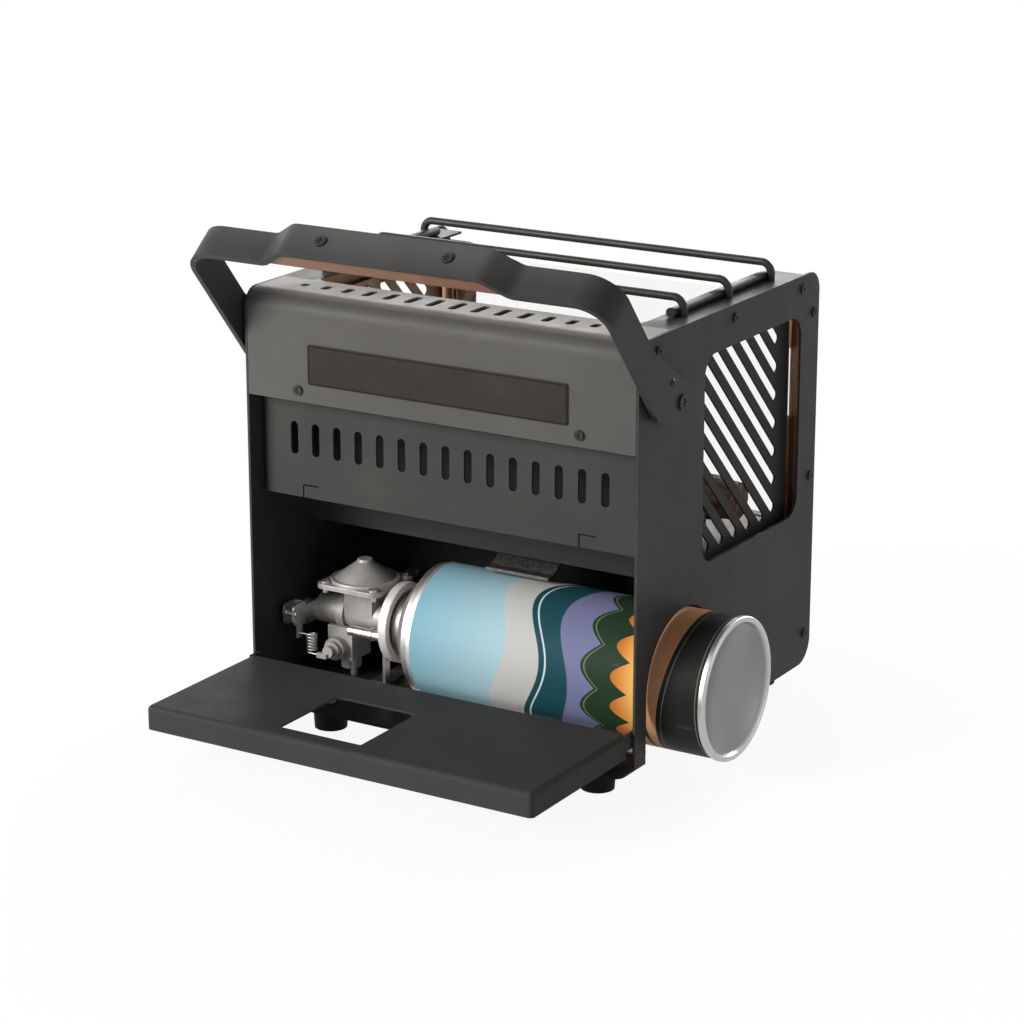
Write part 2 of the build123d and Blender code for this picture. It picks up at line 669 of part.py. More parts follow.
with BuildPart() as bare_plate:
    with BuildSketch(rear_plane(0)):
        with Locations((0, PANEL_HEIGHT - PLATE_DROP)):
            RectangleRounded(*PLATE_SIZE, PLATE_ROUND)
    extrude(amount=PLATE_THICK)
keep(bare_plate, "bare_plate")

# Slotted rear panel: ends bent forward against the side panels, two lanced catches on the lower edge
with BuildPart() as slotted_rear_panel:
    with BuildSketch(flat_plane(SLAT_BOTTOM)):
        for half, rear, bend, mode in (
            (INNER_HALF, SLAT_Y, SLAT_BEND, Mode.ADD),
            (INNER_HALF - SHEET, SLAT_Y + SHEET, SLAT_BEND - SHEET, Mode.SUBTRACT),
        ):
            with BuildLine():
                FilletPolyline(
                    (-half, SLAT_FLANGE_END),
                    (-half, rear),
                    (half, rear),
                    (half, SLAT_FLANGE_END),
                    radius=[0, bend, bend, 0],
                    close=True,
                )
            make_face(mode=mode)
    extrude(amount=SLAT_TOP - SLAT_BOTTOM)
    with BuildSketch(rear_plane(SLAT_Y)):
        with Locations((0, COVER_BOTTOM - SLAT_SLOT_DROP)):
            with GridLocations(VENT_PITCH, 1, VENT_COUNT, 1):
                SlotOverall(*SLAT_SLOT, rotation=90)
        for side in SIDES.values():
            catch_width, catch_height = CATCH_SIZE
            with Locations((side * CATCH_X - catch_width / 2, SLAT_BOTTOM + catch_height / 2)):
                Rectangle(CUT_WIDTH, catch_height)
            with Locations((side * CATCH_X, SLAT_BOTTOM + catch_height)):
                Rectangle(catch_width, CUT_WIDTH)
            with Locations((side * COVER_SCREW_X, COVER_SCREW_Z)):
                Circle(SCREW_RADIUS + HOLE_FIT)
    extrude(amount=-2 * SHEET, mode=Mode.SUBTRACT)
keep(slotted_rear_panel, "slotted_rear_panel")

with BuildPart() as cover_spacers:
    for side in SIDES.values():
        place = (side * COVER_SCREW_X, SHEET, COVER_SCREW_Z)
        rod(place, (0, 1, 0), SPACER_RADIUS, SLAT_Y - SHEET)
        rod(place, (0, 1, 0), SCREW_RADIUS + HOLE_FIT, SLAT_Y - SHEET, mode=Mode.SUBTRACT)
keep(cover_spacers, "cover_spacers")

with BuildPart() as cover_screws:
    for side in SIDES.values():
        screw((side * COVER_SCREW_X, 0, COVER_SCREW_Z), (0, 1, 0), length=SLAT_Y + SHEET + SCREW_PROUD)
keep(cover_screws, "cover_screws")

# Base pan: apron behind the panels, a slot that the cartridge's belly hangs into, upturned flanges
with BuildPart() as base_pan:
    with BuildSketch(flat_plane(0)):
        with BuildLine():
            FilletPolyline(
                (-HALF_WIDTH, -APRON_REACH),
                (HALF_WIDTH, -APRON_REACH),
                (HALF_WIDTH, -SIDE_GAP),
                (FIT_HALF, -SIDE_GAP),
                (FIT_HALF, FASCIA_Y - SIDE_GAP),
                (-FIT_HALF, FASCIA_Y - SIDE_GAP),
                (-FIT_HALF, -SIDE_GAP),
                (-HALF_WIDTH, -SIDE_GAP),
                radius=[APRON_ROUND, APRON_ROUND, 0, 0, 0, 0, 0, 0],
                close=True,
            )
        make_face()
        with Locations(((BELLY_LEFT_X + HALF_WIDTH) / 2, CAN_Y)):
            Rectangle(HALF_WIDTH - BELLY_LEFT_X, 2 * BELLY_HALF, mode=Mode.SUBTRACT)
        with Locations((HALF_WIDTH - BELLY_MOUTH / 2, CAN_Y)):
            Rectangle(BELLY_MOUTH, 2 * CAN_HOLE_RADIUS, mode=Mode.SUBTRACT)
        with Locations(*FOOT_SPOTS):
            Circle(SCREW_RADIUS + HOLE_FIT, mode=Mode.SUBTRACT)
    extrude(amount=BASE_SHEET)
    for side in SIDES.values():
        slab(
            (side * FIT_HALF, CAN_Y + CAN_HOLE_RADIUS + BASE_FLANGE_ENDS[0], BASE_SHEET),
            (side * (FIT_HALF - BASE_SHEET), FASCIA_Y - BASE_FLANGE_ENDS[1], BASE_FLANGE),
        )
keep(base_pan, "base_pan")

with BuildPart() as feet:
    for x, y in FOOT_SPOTS:
        with Locations(spot(x, y, -FOOT_HEIGHT)):
            Cone(
                FOOT_RADIUS - FOOT_TAPER,
                FOOT_RADIUS,
                FOOT_HEIGHT,
                align=(Align.CENTER, Align.CENTER, Align.MIN),
            )
        rod((x, y, 0), (0, 0, -1), SCREW_RADIUS + HOLE_FIT, FOOT_BORE, mode=Mode.SUBTRACT)
keep(feet, "feet")

with BuildPart() as foot_screws:
    for x, y in FOOT_SPOTS:
        screw((x, y, BASE_SHEET), (0, 0, -1), length=BASE_SHEET + FOOT_THREAD)
keep(foot_screws, "foot_screws")


# Drop-down door, drawn open: a plate with lips folded down on three sides and two hinge ears
def folded_edges(block):
    """Edges of a block that bend on the door: the top ones but the hinge side's, and the far corners."""
    top_edges = block.faces().sort_by(Axis.Z)[-1].edges()
    far_corners = block.edges().filter_by(Axis.Z).group_by(Axis.Y)[0]
    return top_edges.filter_by(Axis.Y) + top_edges.filter_by(Axis.X).sort_by(Axis.Y)[:1] + far_corners


with BuildPart() as door_hollow:
    slab(
        (-DOOR_HALF + DOOR_SHEET, -DOOR_REACH + DOOR_SHEET, DOOR_TOP - DOOR_LIP - DOOR_SHEET),
        (DOOR_HALF - DOOR_SHEET, 0, DOOR_TOP - DOOR_SHEET),
    )
    fillet(folded_edges(door_hollow), DOOR_BEND - DOOR_SHEET)

with BuildPart() as door:
    slab((-DOOR_HALF, -DOOR_REACH, DOOR_TOP - DOOR_LIP), (DOOR_HALF, -DOOR_HINGE_EDGE, DOOR_TOP))
    fillet(folded_edges(door), DOOR_BEND)
    add(door_hollow.part, mode=Mode.SUBTRACT)
    with BuildSketch(flat_plane(DOOR_TOP)):
        with Locations((sum(NOTCH_X) / 2, sum(NOTCH_Y) / 2)):
            notch = Rectangle(NOTCH_X[1] - NOTCH_X[0], NOTCH_Y[1] - NOTCH_Y[0])
        fillet(notch.vertices().group_by(Axis.Y)[-1], NOTCH_ROUND)
    extrude(amount=-2 * DOOR_SHEET, mode=Mode.SUBTRACT)
    for side in SIDES.values():
        ear_rear = -DOOR_HINGE_EDGE - DOOR_SHEET
        with BuildSketch(side_plane(side * DOOR_HALF)):
            with Locations(((HINGE_Y + ear_rear) / 2, HINGE_Z)):
                Rectangle(HINGE_Y - ear_rear, 2 * HINGE_EAR)
            with Locations((HINGE_Y, HINGE_Z)):
                Circle(HINGE_EAR)
                Circle(HINGE_PIN_RADIUS + SHAFT_FIT, mode=Mode.SUBTRACT)
        extrude(amount=-side * DOOR_SHEET)
keep(door, "door")

with BuildPart() as door_pins:
    for side in SIDES.values():
        start = (side * (HALF_WIDTH - SIDE_GAP), HINGE_Y, HINGE_Z)
        rod(start, (-side, 0, 0), HINGE_PIN_RADIUS, HINGE_PIN_LENGTH)
keep(door_pins, "door_pins")


# Bail handle: a flat strip bent over the body, raised in the middle, with an eye at each end
def handle_plane(depth):
    """Plane of the bail, drawn in x and along the arms; depth is measured towards the front."""
    return Plane(
        origin=spot(0, PIVOT_Y + depth * LEAN_COS, PIVOT_Z + depth * LEAN_SIN),
        x_dir=(1, 0, 0),
        z_dir=(0, -LEAN_COS, -LEAN_SIN),
    )


def arm_plane(x):
    """Plane of one arm, drawn across and along the arm from its pivot."""
    return Plane(origin=spot(x, PIVOT_Y, PIVOT_Z), x_dir=(0, LEAN_COS, LEAN_SIN), z_dir=(1, 0, 0))


with BuildPart() as handle_strip:
    with BuildSketch(handle_plane(STRIP_FRONT)):
        with BuildLine():
            FilletPolyline(
                (-BAND_X, ARM_FOOT),
                (-BAND_X, BAND_LOW),
                (-JOGGLE_LOW_X, BAND_LOW),
                (-JOGGLE_HIGH_X, BAND_HIGH),
                (JOGGLE_HIGH_X, BAND_HIGH),
                (JOGGLE_LOW_X, BAND_LOW),
                (BAND_X, BAND_LOW),
                (BAND_X, ARM_FOOT),
                radius=[HANDLE_ROUND, JOGGLE_ROUND, JOGGLE_ROUND, JOGGLE_ROUND, JOGGLE_ROUND, HANDLE_ROUND],
            )
        trace(line_width=STRIP_THICK)
    extrude(amount=STRIP_WIDTH)
    for side in SIDES.values():
        with BuildSketch(arm_plane(side * ARM_OUT)):
            Circle(EYE_RADIUS)
            for across in (STRIP_REAR + EYE_ROUND, STRIP_FRONT - EYE_ROUND):
                with Locations((across, ARM_FOOT)):
                    Circle(EYE_ROUND)
            with Locations((STRIP_REAR + EYE_ROUND, HEEL_RISE)):
                Circle(EYE_ROUND)
            make_hull()
            Circle(BOLT_RADIUS + SHAFT_FIT, mode=Mode.SUBTRACT)
        extrude(amount=-side * STRIP_THICK)
        with Locations(arm_plane(side * (ARM_OUT - DETENT_SINK))):
            with Locations((0, DETENT_RISE, 0)):
                Sphere(DETENT_RADIUS)
    for x in (-GRIP_SCREW_X, GRIP_SCREW_X):
        with Locations(handle_plane(STRIP_FRONT - STRIP_WIDTH / 2)):
            with Locations((x, BAND_HIGH, 0)):
                Cylinder(SCREW_RADIUS + HOLE_FIT, 2 * STRIP_THICK, rotation=(90, 0, 0), mode=Mode.SUBTRACT)
keep(handle_strip, "handle_strip")

with BuildPart() as grip_liner:
    liner_plane = Plane(
        origin=handle_plane(STRIP_FRONT - STRIP_WIDTH / 2).from_local_coords((0, LINER_TOP, 0)),
        x_dir=(1, 0, 0),
        z_dir=(0, LEAN_SIN, -LEAN_COS),
    )
    with BuildSketch(handle_plane(STRIP_FRONT - (STRIP_WIDTH - LINER_WIDTH) / 2)):
        with BuildLine():
            FilletPolyline(
                (-LINER_END_X, LINER_BOTTOM),
                (LINER_END_X, LINER_BOTTOM),
                (LINER_END_X, LINER_TIP_Z),
                (LINER_TOP_X, LINER_TOP),
                (-LINER_TOP_X, LINER_TOP),
                (-LINER_END_X, LINER_TIP_Z),
                radius=[0, 0, 0, JOGGLE_ROUND - STRIP_THICK / 2, JOGGLE_ROUND - STRIP_THICK / 2, 0],
                close=True,
            )
        make_face()
    extrude(amount=LINER_WIDTH)
    under = grip_liner.faces().sort_by(Axis((0, 0, 0), (0, LEAN_SIN, -LEAN_COS)))[-1]
    fillet(under.edges().filter_by(Axis.X), LINER_ROUND)
    with Locations(liner_plane):
        with Locations((-GRIP_SCREW_X, 0, 0), (GRIP_SCREW_X, 0, 0)):
            Cylinder(
                SCREW_RADIUS + HOLE_FIT,
                GRIP_HOLE,
                align=(Align.CENTER, Align.CENTER, Align.MIN),
                mode=Mode.SUBTRACT,
            )
keep(grip_liner, "grip_liner")

with BuildPart() as grip_screws:
    grip_top = handle_plane(STRIP_FRONT - STRIP_WIDTH / 2)
    for x in (-GRIP_SCREW_X, GRIP_SCREW_X):
        seat = grip_top.from_local_coords(Vector(x, BAND_HIGH + STRIP_THICK / 2, 0))
        body_seat = seat - Vector(*spot(0, 0, 0))
        screw(
            tuple(body_seat),
            (0, LEAN_SIN, -LEAN_COS),
            length=STRIP_THICK + GRIP_THREAD,
            head_radius=GRIP_HEAD_RADIUS,
        )
keep(grip_screws, "grip_screws")

# Pivot bolts with a washer on each side panel and a nut behind it
with BuildPart() as pivot_washers:
    for side in SIDES.values():
        face = (side * HALF_WIDTH, PIVOT_Y, PIVOT_Z)
        rod(face, (side, 0, 0), WASHER_RADIUS, ARM_GAP - ARM_PLAY)
        rod(face, (side, 0, 0), BOLT_RADIUS + HOLE_FIT, ARM_GAP - ARM_PLAY, mode=Mode.SUBTRACT)
keep(pivot_washers, "pivot_washers")

with BuildPart() as pivot_bolts:
    for side in SIDES.values():
        head_seat = side * (ARM_OUT + ARM_PLAY)
        shank = ARM_OUT + ARM_PLAY - INNER_HALF + NUT_THICK + BOLT_PAST_NUT
        screw((head_seat, PIVOT_Y, PIVOT_Z), (-side, 0, 0), shank, BOLT_RADIUS, BOLT_HEAD_RADIUS)
keep(pivot_bolts, "pivot_bolts")

with BuildPart() as pivot_nuts:
    for side in SIDES.values():
        with BuildSketch(side_plane(side * INNER_HALF)):
            with Locations((PIVOT_Y, PIVOT_Z)):
                RegularPolygon(NUT_RADIUS, 6)
                Circle(BOLT_RADIUS + HOLE_FIT, mode=Mode.SUBTRACT)
        extrude(amount=-side * NUT_THICK)
keep(pivot_nuts, "pivot_nuts")

# Pot rack: cross wires bent down at the ends and welded to two rods that lie on the side folds
with BuildPart() as pot_rack:
    for side in SIDES.values():
        start = (side * RACK_ROD_X, RACK_ROD_Y[0], PANEL_HEIGHT + RACK_ROD_RADIUS)
        rod(start, (0, 1, 0), RACK_ROD_RADIUS, RACK_ROD_Y[1] - RACK_ROD_Y[0])
    for y in RACK_WIRE_Y:
        with BuildLine() as wire_path:
            FilletPolyline(
                spot(-RACK_LEG_X, y, PANEL_HEIGHT),
                spot(-RACK_LEG_X, y, RACK_WIRE_Z),
                spot(RACK_LEG_X, y, RACK_WIRE_Z),
                spot(RACK_LEG_X, y, PANEL_HEIGHT),
                radius=RACK_BEND,
            )
        with BuildSketch(Plane(origin=wire_path.line @ 0, z_dir=wire_path.line % 0)):
            Circle(WIRE_RADIUS)
        sweep(path=wire_path.line)
keep(pot_rack, "pot_rack")

# Firebox: a hearth floor and a back wall that leans to the rear, of one sheet
with BuildPart() as firebox_shell:
    with BuildSketch(side_plane(-FIT_HALF)):
        with BuildLine():
            back_top = PANEL_HEIGHT - BACK_TOP_DROP
            Polyline(
                (HEARTH_FRONT, HEARTH_Z),
                (HEARTH_REAR, HEARTH_Z),
                (BACK_TOP_Y, back_top),
                (BACK_TOP_Y - LINER_SHEET, back_top),
                (HEARTH_REAR - LINER_SHEET, HEARTH_UNDER),
                (HEARTH_FRONT, HEARTH_UNDER),
                close=True,
            )
        make_face()
    extrude(amount=2 * FIT_HALF)
    rod((MIXER_X, BURNER_Y, MIXER_FOOT_Z), (0, 0, 1), MIXER_RADIUS + MIXER_FIT, MIXER_DROP, Mode.SUBTRACT)
keep(firebox_shell, "firebox_shell")


def guard_slots():
    """Slots at 45 degrees, falling towards the front, clipped to the guard's field."""
    rear = GUARD_REAR + GUARD_SLOT_ENDS[0]
    front = GUARD_FRONT - GUARD_SLOT_ENDS[1]
    bottom = GUARD_BOTTOM + GUARD_SLOT_BOTTOM
    top = GUARD_TOP - GUARD_SLOT_TOP
    count = ceil((top - bottom + front - rear) / GUARD_SLOT_RISE)
    for index in range(1, count):
        front_z = top - index * GUARD_SLOT_RISE
        start = max(rear, front - (top - front_z))
        end = min(front, front - (bottom - front_z))
        if end - start > 2 * GUARD_SLOT_WIDTH:
            middle = (start + end) / 2
            yield middle, front_z + front - middle, (end - start) * sqrt(2)


def slat_guard(side):
    """Inner guard plate behind the side window, held off the panel by its folds."""
    with BuildPart() as guard:
        with BuildSketch(side_plane(side * GUARD_X)):
            with Locations(((GUARD_REAR + GUARD_FRONT) / 2, (GUARD_BOTTOM + GUARD_TOP) / 2)):
                Rectangle(GUARD_FRONT - GUARD_REAR, GUARD_TOP - GUARD_BOTTOM)
            for y, z, length in guard_slots():
                with Locations((y, z)):
                    SlotOverall(length, GUARD_SLOT_WIDTH, rotation=-45, mode=Mode.SUBTRACT)
        extrude(amount=side * LINER_SHEET)
        for level in (GUARD_BOTTOM, GUARD_TOP - LINER_SHEET):
            slab(
                (side * GUARD_X, GUARD_REAR, level),
                (side * INNER_HALF, GUARD_FRONT, level + LINER_SHEET),
            )
        slab(
            (side * (INNER_HALF - LINER_SHEET), GUARD_REAR, GUARD_TOP - LINER_SHEET),
            (side * INNER_HALF, GUARD_FRONT + GUARD_TAB_FRONT, GUARD_SCREW_Z + GUARD_TAB_ABOVE),
        )
        for y, z in GUARD_SCREWS:
            screw_hole((side * INNER_HALF, y, z), (-side, 0, 0))
    return guard


for name, side in SIDES.items():
    keep(slat_guard(side), f"{name}_slat_guard")

with BuildPart() as front_glass:
    slab((-GLASS_HALF, GLASS_REAR, HEARTH_Z), (GLASS_HALF, GLASS_FRONT, GLASS_TOP))
    fillet(front_glass.edges().filter_by(Axis.Y).group_by(Axis.Z)[-1], GLASS_ROUND)
    chamfer(front_glass.edges().filter_by(Axis.Z), GLASS_ARRIS)
keep(front_glass, "front_glass")

# Glass clips: a channel round the pane's edge, with a leg to the side panel and a plate for the screw
with BuildPart() as glass_clips:
    jaw_rear = GLASS_REAR - CLIP_FIT - CLIP_SHEET
    jaw_front = GLASS_FRONT + CLIP_FIT
    for side in SIDES.values():
        wall = side * INNER_HALF
        web = side * (GLASS_HALF + CLIP_FIT)
        tip = side * (GLASS_HALF - CLIP_REACH)
        for (y, z), (below, above) in ((UPPER_CLIP_SCREW, UPPER_CLIP), (LOWER_CLIP_SCREW, LOWER_CLIP)):
            low = z - below
            high = z + above
            slab((tip, jaw_rear, low), (web, jaw_rear + CLIP_SHEET, high))
            slab((web, jaw_rear, low), (web + side * CLIP_SHEET, jaw_front + CLIP_SHEET, high))
            slab((tip, jaw_front, low), (wall, jaw_front + CLIP_SHEET, high))
            slab((wall - side * CLIP_SHEET, jaw_front, low), (wall, BODY_DEPTH - 2 * SHEET, high))
            screw_hole((wall, y, z), (-side, 0, 0))
keep(glass_clips, "glass_clips")

with BuildPart() as side_screws:
    for side in SIDES.values():
        for y, z in SIDE_SCREWS:
            screw((side * HALF_WIDTH, y, z), (-side, 0, 0))
keep(side_screws, "side_screws")

# Divider between the gas bay and the space under the hearth
with BuildPart() as divider_wall:
    slab((-FIT_HALF, DIVIDER_Y, BASE_SHEET), (FIT_HALF, DIVIDER_Y + SHEET, HEARTH_UNDER))
    slab((-GUARD_X, DIVIDER_Y, HEARTH_UNDER - SHEET), (GUARD_X, DIVIDER_Y + DIVIDER_LIP, HEARTH_UNDER))
    rod((MIXER_X, BURNER_Y, MIXER_FOOT_Z), (0, 0, 1), MIXER_RADIUS + MIXER_FIT, MIXER_DROP, Mode.SUBTRACT)
    pipe_start = (MIXER_X, DIVIDER_Y - SHEET, GAS_PIPE_Z)
    rod(pipe_start, (0, 1, 0), GAS_PIPE_RADIUS + GAS_PIPE_FIT, HOLE_DEPTH, mode=Mode.SUBTRACT)
    for side in SIDES.values():
        slab(
            (side * FIT_HALF, DIVIDER_Y - SHEET, 0),
            (
                side * (FIT_HALF - BASE_SHEET - DIVIDER_FIT),
                DIVIDER_Y + 2 * SHEET,
                BASE_FLANGE + DIVIDER_FIT,
            ),
            mode=Mode.SUBTRACT,
        )
keep(divider_wall, "divider_wall")

# Front fascia below the glass, with a return under the hearth and an end tab at each side
with BuildPart() as front_fascia:
    slab((-FIT_HALF, FASCIA_Y, BASE_SHEET), (FIT_HALF, FASCIA_Y + SHEET, HEARTH_UNDER))
    slab((-FIT_HALF, HEARTH_FRONT - FASCIA_RETURN, HEARTH_UNDER - SHEET), (FIT_HALF, FASCIA_Y, HEARTH_UNDER))
    with BuildSketch(rear_plane(FASCIA_Y + SHEET)):
        with Locations((0, FASCIA_SLOT_Z)):
            with GridLocations(*FASCIA_SLOT_PITCH, FASCIA_SLOT_COLUMNS, FASCIA_SLOT_ROWS):
                SlotOverall(*FASCIA_SLOT)
    extrude(amount=2 * SHEET, mode=Mode.SUBTRACT)
    for side in SIDES.values():
        tab_y, tab_z = FASCIA_SCREW
        slab(
            (side * FIT_HALF, tab_y - FASCIA_TAB[0], tab_z - FASCIA_TAB[1]),
            (side * (FIT_HALF - SHEET), FASCIA_Y, tab_z + FASCIA_TAB[1]),
        )
        screw_hole((side * INNER_HALF, tab_y, tab_z), (-side, 0, 0))
keep(front_fascia, "front_fascia")

# Burner: a ported tube over a mixing tube that stands through the hearth
with BuildPart() as burner_tube:
    mixer_foot = (MIXER_X, BURNER_Y, MIXER_FOOT_Z)
    inner_half = BURNER_HALF - BURNER_WALL
    rod((-BURNER_HALF, BURNER_Y, BURNER_Z), (1, 0, 0), BURNER_RADIUS, 2 * BURNER_HALF)
    rod(mixer_foot, (0, 0, 1), MIXER_RADIUS, MIXER_DROP)
    inner_radius = BURNER_RADIUS - BURNER_WALL
    rod((-inner_half, BURNER_Y, BURNER_Z), (1, 0, 0), inner_radius, 2 * inner_half, Mode.SUBTRACT)
    rod(mixer_foot, (0, 0, 1), MIXER_RADIUS - BURNER_WALL, MIXER_DROP, Mode.SUBTRACT)
    with Locations(spot(0, BURNER_Y, BURNER_Z)):
        with GridLocations(PORT_PITCH, 1, PORT_COUNT, 1):
            Cylinder(
                PORT_RADIUS,
                2 * BURNER_RADIUS,
                align=(Align.CENTER, Align.CENTER, Align.MIN),
                mode=Mode.SUBTRACT,
            )
keep(burner_tube, "burner_tube")

with BuildPart() as burner_stands:
    half_x, half_y = BURNER_STAND_HALF
    for x in BURNER_STAND_X:
        slab(
            (x - half_x, BURNER_Y - half_y, HEARTH_Z),
            (x + half_x, BURNER_Y + half_y, BURNER_Z - BURNER_STAND_SINK),
        )
    saddle = BURNER_RADIUS + BURNER_STAND_FIT
    rod((-BURNER_HALF, BURNER_Y, BURNER_Z), (1, 0, 0), saddle, 2 * BURNER_HALF, mode=Mode.SUBTRACT)
keep(burner_stands, "burner_stands")


# Ceramic logs: two lying along the burner and one resting across them
def ceramic_log(middle, along, length, radius, girths):
    """Log turned about its own axis; its girths are shares of half its length and of its radius."""
    log_plane = Plane(origin=spot(*middle), x_dir=along)
    half = length / 2
    with BuildPart() as log:
        with BuildSketch(log_plane):
            with BuildLine():
                girth = Spline(*((half * share, radius * thick) for share, thick in girths))
                Polyline(girth @ 0, (-half, 0), (half, 0), girth @ 1)
            make_face()
        revolve(axis=Axis(log_plane.origin, log_plane.x_dir))
    return log


def log_rest(x, y, length, skew):
    """Place on a lying log where the cross log rests: the swelling near its left end."""
    reach = LOG_BULGE_SHARE * length / 2 / sqrt(1 + skew**2)
    return Vector(x + reach, y + skew * reach, LOG_Z + LOG_BULGE * (LOG_RADIUS + CROSS_LOG_RADIUS) + LOG_REST)


LYING_LOGS = {
    "rear_log": (REAR_LOG_X, REAR_LOG_Y, REAR_LOG_LENGTH, REAR_LOG_SKEW),
    "front_log": (FRONT_LOG_X, FRONT_LOG_Y, FRONT_LOG_LENGTH, FRONT_LOG_SKEW),
}
for name, (x, y, length, skew) in LYING_LOGS.items():
    keep(ceramic_log((x, y, LOG_Z), (1, skew, 0), length, LOG_RADIUS, LOG_GIRTHS), name)

rear_rest, front_rest = (log_rest(*place) for place in LYING_LOGS.values())
cross_middle = tuple((rear_rest + front_rest) * 0.5)
cross_way = tuple((front_rest - rear_rest).normalized())
keep(ceramic_log(cross_middle, cross_way, CROSS_LOG_LENGTH, CROSS_LOG_RADIUS, CROSS_GIRTHS), "cross_log")

# Grate: two cast bars with a raised seat under each log and a horn at each end
with BuildPart() as log_grate:
    horn_thick, horn_height = GRATE_HORN
    for x in GRATE_X:
        left, right = x - GRATE_HALF, x + GRATE_HALF
        slab((left, GRATE_Y[0], HEARTH_Z), (right, GRATE_Y[1], HEARTH_Z + GRATE_BAR))
        for y in (REAR_LOG_Y, FRONT_LOG_Y):
            slab((left, y - SEAT_HALF, HEARTH_Z), (right, y + SEAT_HALF, LOG_Z - LOG_RADIUS - SEAT_GAP))
        for y in (GRATE_Y[0], GRATE_Y[1] - horn_thick):
            slab((left, y, HEARTH_Z), (right, y + horn_thick, HEARTH_Z + horn_height))
keep(log_grate, "log_grate")

with BuildPart() as ignition_electrode:
    electrode_foot = (ELECTRODE_X, BURNER_Y + ELECTRODE_AHEAD, HEARTH_Z)
    rod(electrode_foot, (0, 0, 1), *ELECTRODE_BASE)
    rod(electrode_foot, (0, 0, 1), ELECTRODE_TIP[0], ELECTRODE_BASE[1] + ELECTRODE_TIP[1])
keep(ignition_electrode, "ignition_electrode")

# Gas line from the regulator through the divider to the injector below the mixing tube
with BuildPart() as gas_pipe:
    with BuildLine() as gas_path:
        FilletPolyline(
            spot(MIXER_X, CAN_Y + BARREL_RADIUS, GAS_PIPE_Z),
            spot(MIXER_X, BURNER_Y, GAS_PIPE_Z),
            spot(MIXER_X, BURNER_Y, INJECTOR_Z),
            radius=GAS_PIPE_BEND,
        )
    with BuildSketch(Plane(origin=gas_path.line @ 0, z_dir=gas_path.line % 0)):
        Circle(GAS_PIPE_RADIUS)
    sweep(path=gas_path.line)
keep(gas_pipe, "gas_pipe")

with BuildPart() as injector:
    hex_radius, hex_height = INJECTOR_HEX
    nose_radius, nose_height = INJECTOR_NOSE
    jet_radius, jet_depth = INJECTOR_JET
    nose_foot = INJECTOR_Z + hex_height
    with BuildSketch(flat_plane(INJECTOR_Z)):
        with Locations((MIXER_X, BURNER_Y)):
            RegularPolygon(hex_radius, 6)
    extrude(amount=hex_height)
    rod((MIXER_X, BURNER_Y, nose_foot), (0, 0, 1), nose_radius, nose_height)
    rod((MIXER_X, BURNER_Y, nose_foot + nose_height), (0, 0, -1), jet_radius, jet_depth, mode=Mode.SUBTRACT)
keep(injector, "injector")

# Heat transfer plate: hangs from the hearth and dips to just above the cartridge
with BuildPart() as heat_transfer_plate:
    plate_high = HEARTH_UNDER - HEAT_PLATE_SHEET / 2
    plate_low = CAN_Z + RIM_RADIUS + HEAT_PLATE_GAP + HEAT_PLATE_SHEET / 2
    low_end, low_bend, high_bend, high_end = HEAT_PLATE_Y
    with BuildSketch(side_plane(HEAT_PLATE_X[0])):
        with BuildLine():
            FilletPolyline(
                (high_end, plate_high),
                (high_bend, plate_high),
                (low_bend, plate_low),
                (low_end, plate_low),
                radius=HEAT_PLATE_BEND,
            )
        trace(line_width=HEAT_PLATE_SHEET)
    extrude(amount=HEAT_PLATE_X[1] - HEAT_PLATE_X[0])
keep(heat_transfer_plate, "heat_transfer_plate")

# Cartridge rails on both edges of the slot in the base
RAIL_X = (BELLY_LEFT_X + RAIL_END_FIT, HALF_WIDTH - RAIL_MOUTH)
RAIL_HALF = BELLY_HALF + RAIL_SETBACK
RAIL_TOP = CAN_Z - sqrt((CAN_RADIUS + RAIL_PLAY) ** 2 - RAIL_HALF**2)
with BuildPart() as cartridge_rails:
    for side in SIDES.values():
        rail = CAN_Y + side * RAIL_HALF
        slab((RAIL_X[0], rail, BASE_SHEET), (RAIL_X[1], rail + side * RAIL_SHEET, RAIL_TOP))
        slab((RAIL_X[0], rail, BASE_SHEET), (RAIL_X[1], rail + side * RAIL_FLANGE, BASE_SHEET + RAIL_SHEET))
keep(cartridge_rails, "cartridge_rails")

# Gas cartridge, turned about its own axis
CAN_AXIS = Axis(spot(0, CAN_Y, CAN_Z), (1, 0, 0))


def can_plane():
    """Plane through the cartridge's axis, drawn along the axis and outwards."""
    return Plane(origin=spot(0, CAN_Y, CAN_Z), x_dir=(1, 0, 0), z_dir=(0, -1, 0))


BODY_START = CAN_NECK_X + RIM_WIDTH / 2
BODY_END = CAN_END_X - RIM_WIDTH
with BuildPart() as cartridge_body:
    with BuildSketch(can_plane()):
        with Locations(((BODY_START + BODY_END) / 2, CAN_RADIUS - CAN_WALL / 2)):
            Rectangle(BODY_END - BODY_START, CAN_WALL)
    revolve(axis=CAN_AXIS)
keep(cartridge_body, "cartridge_body")

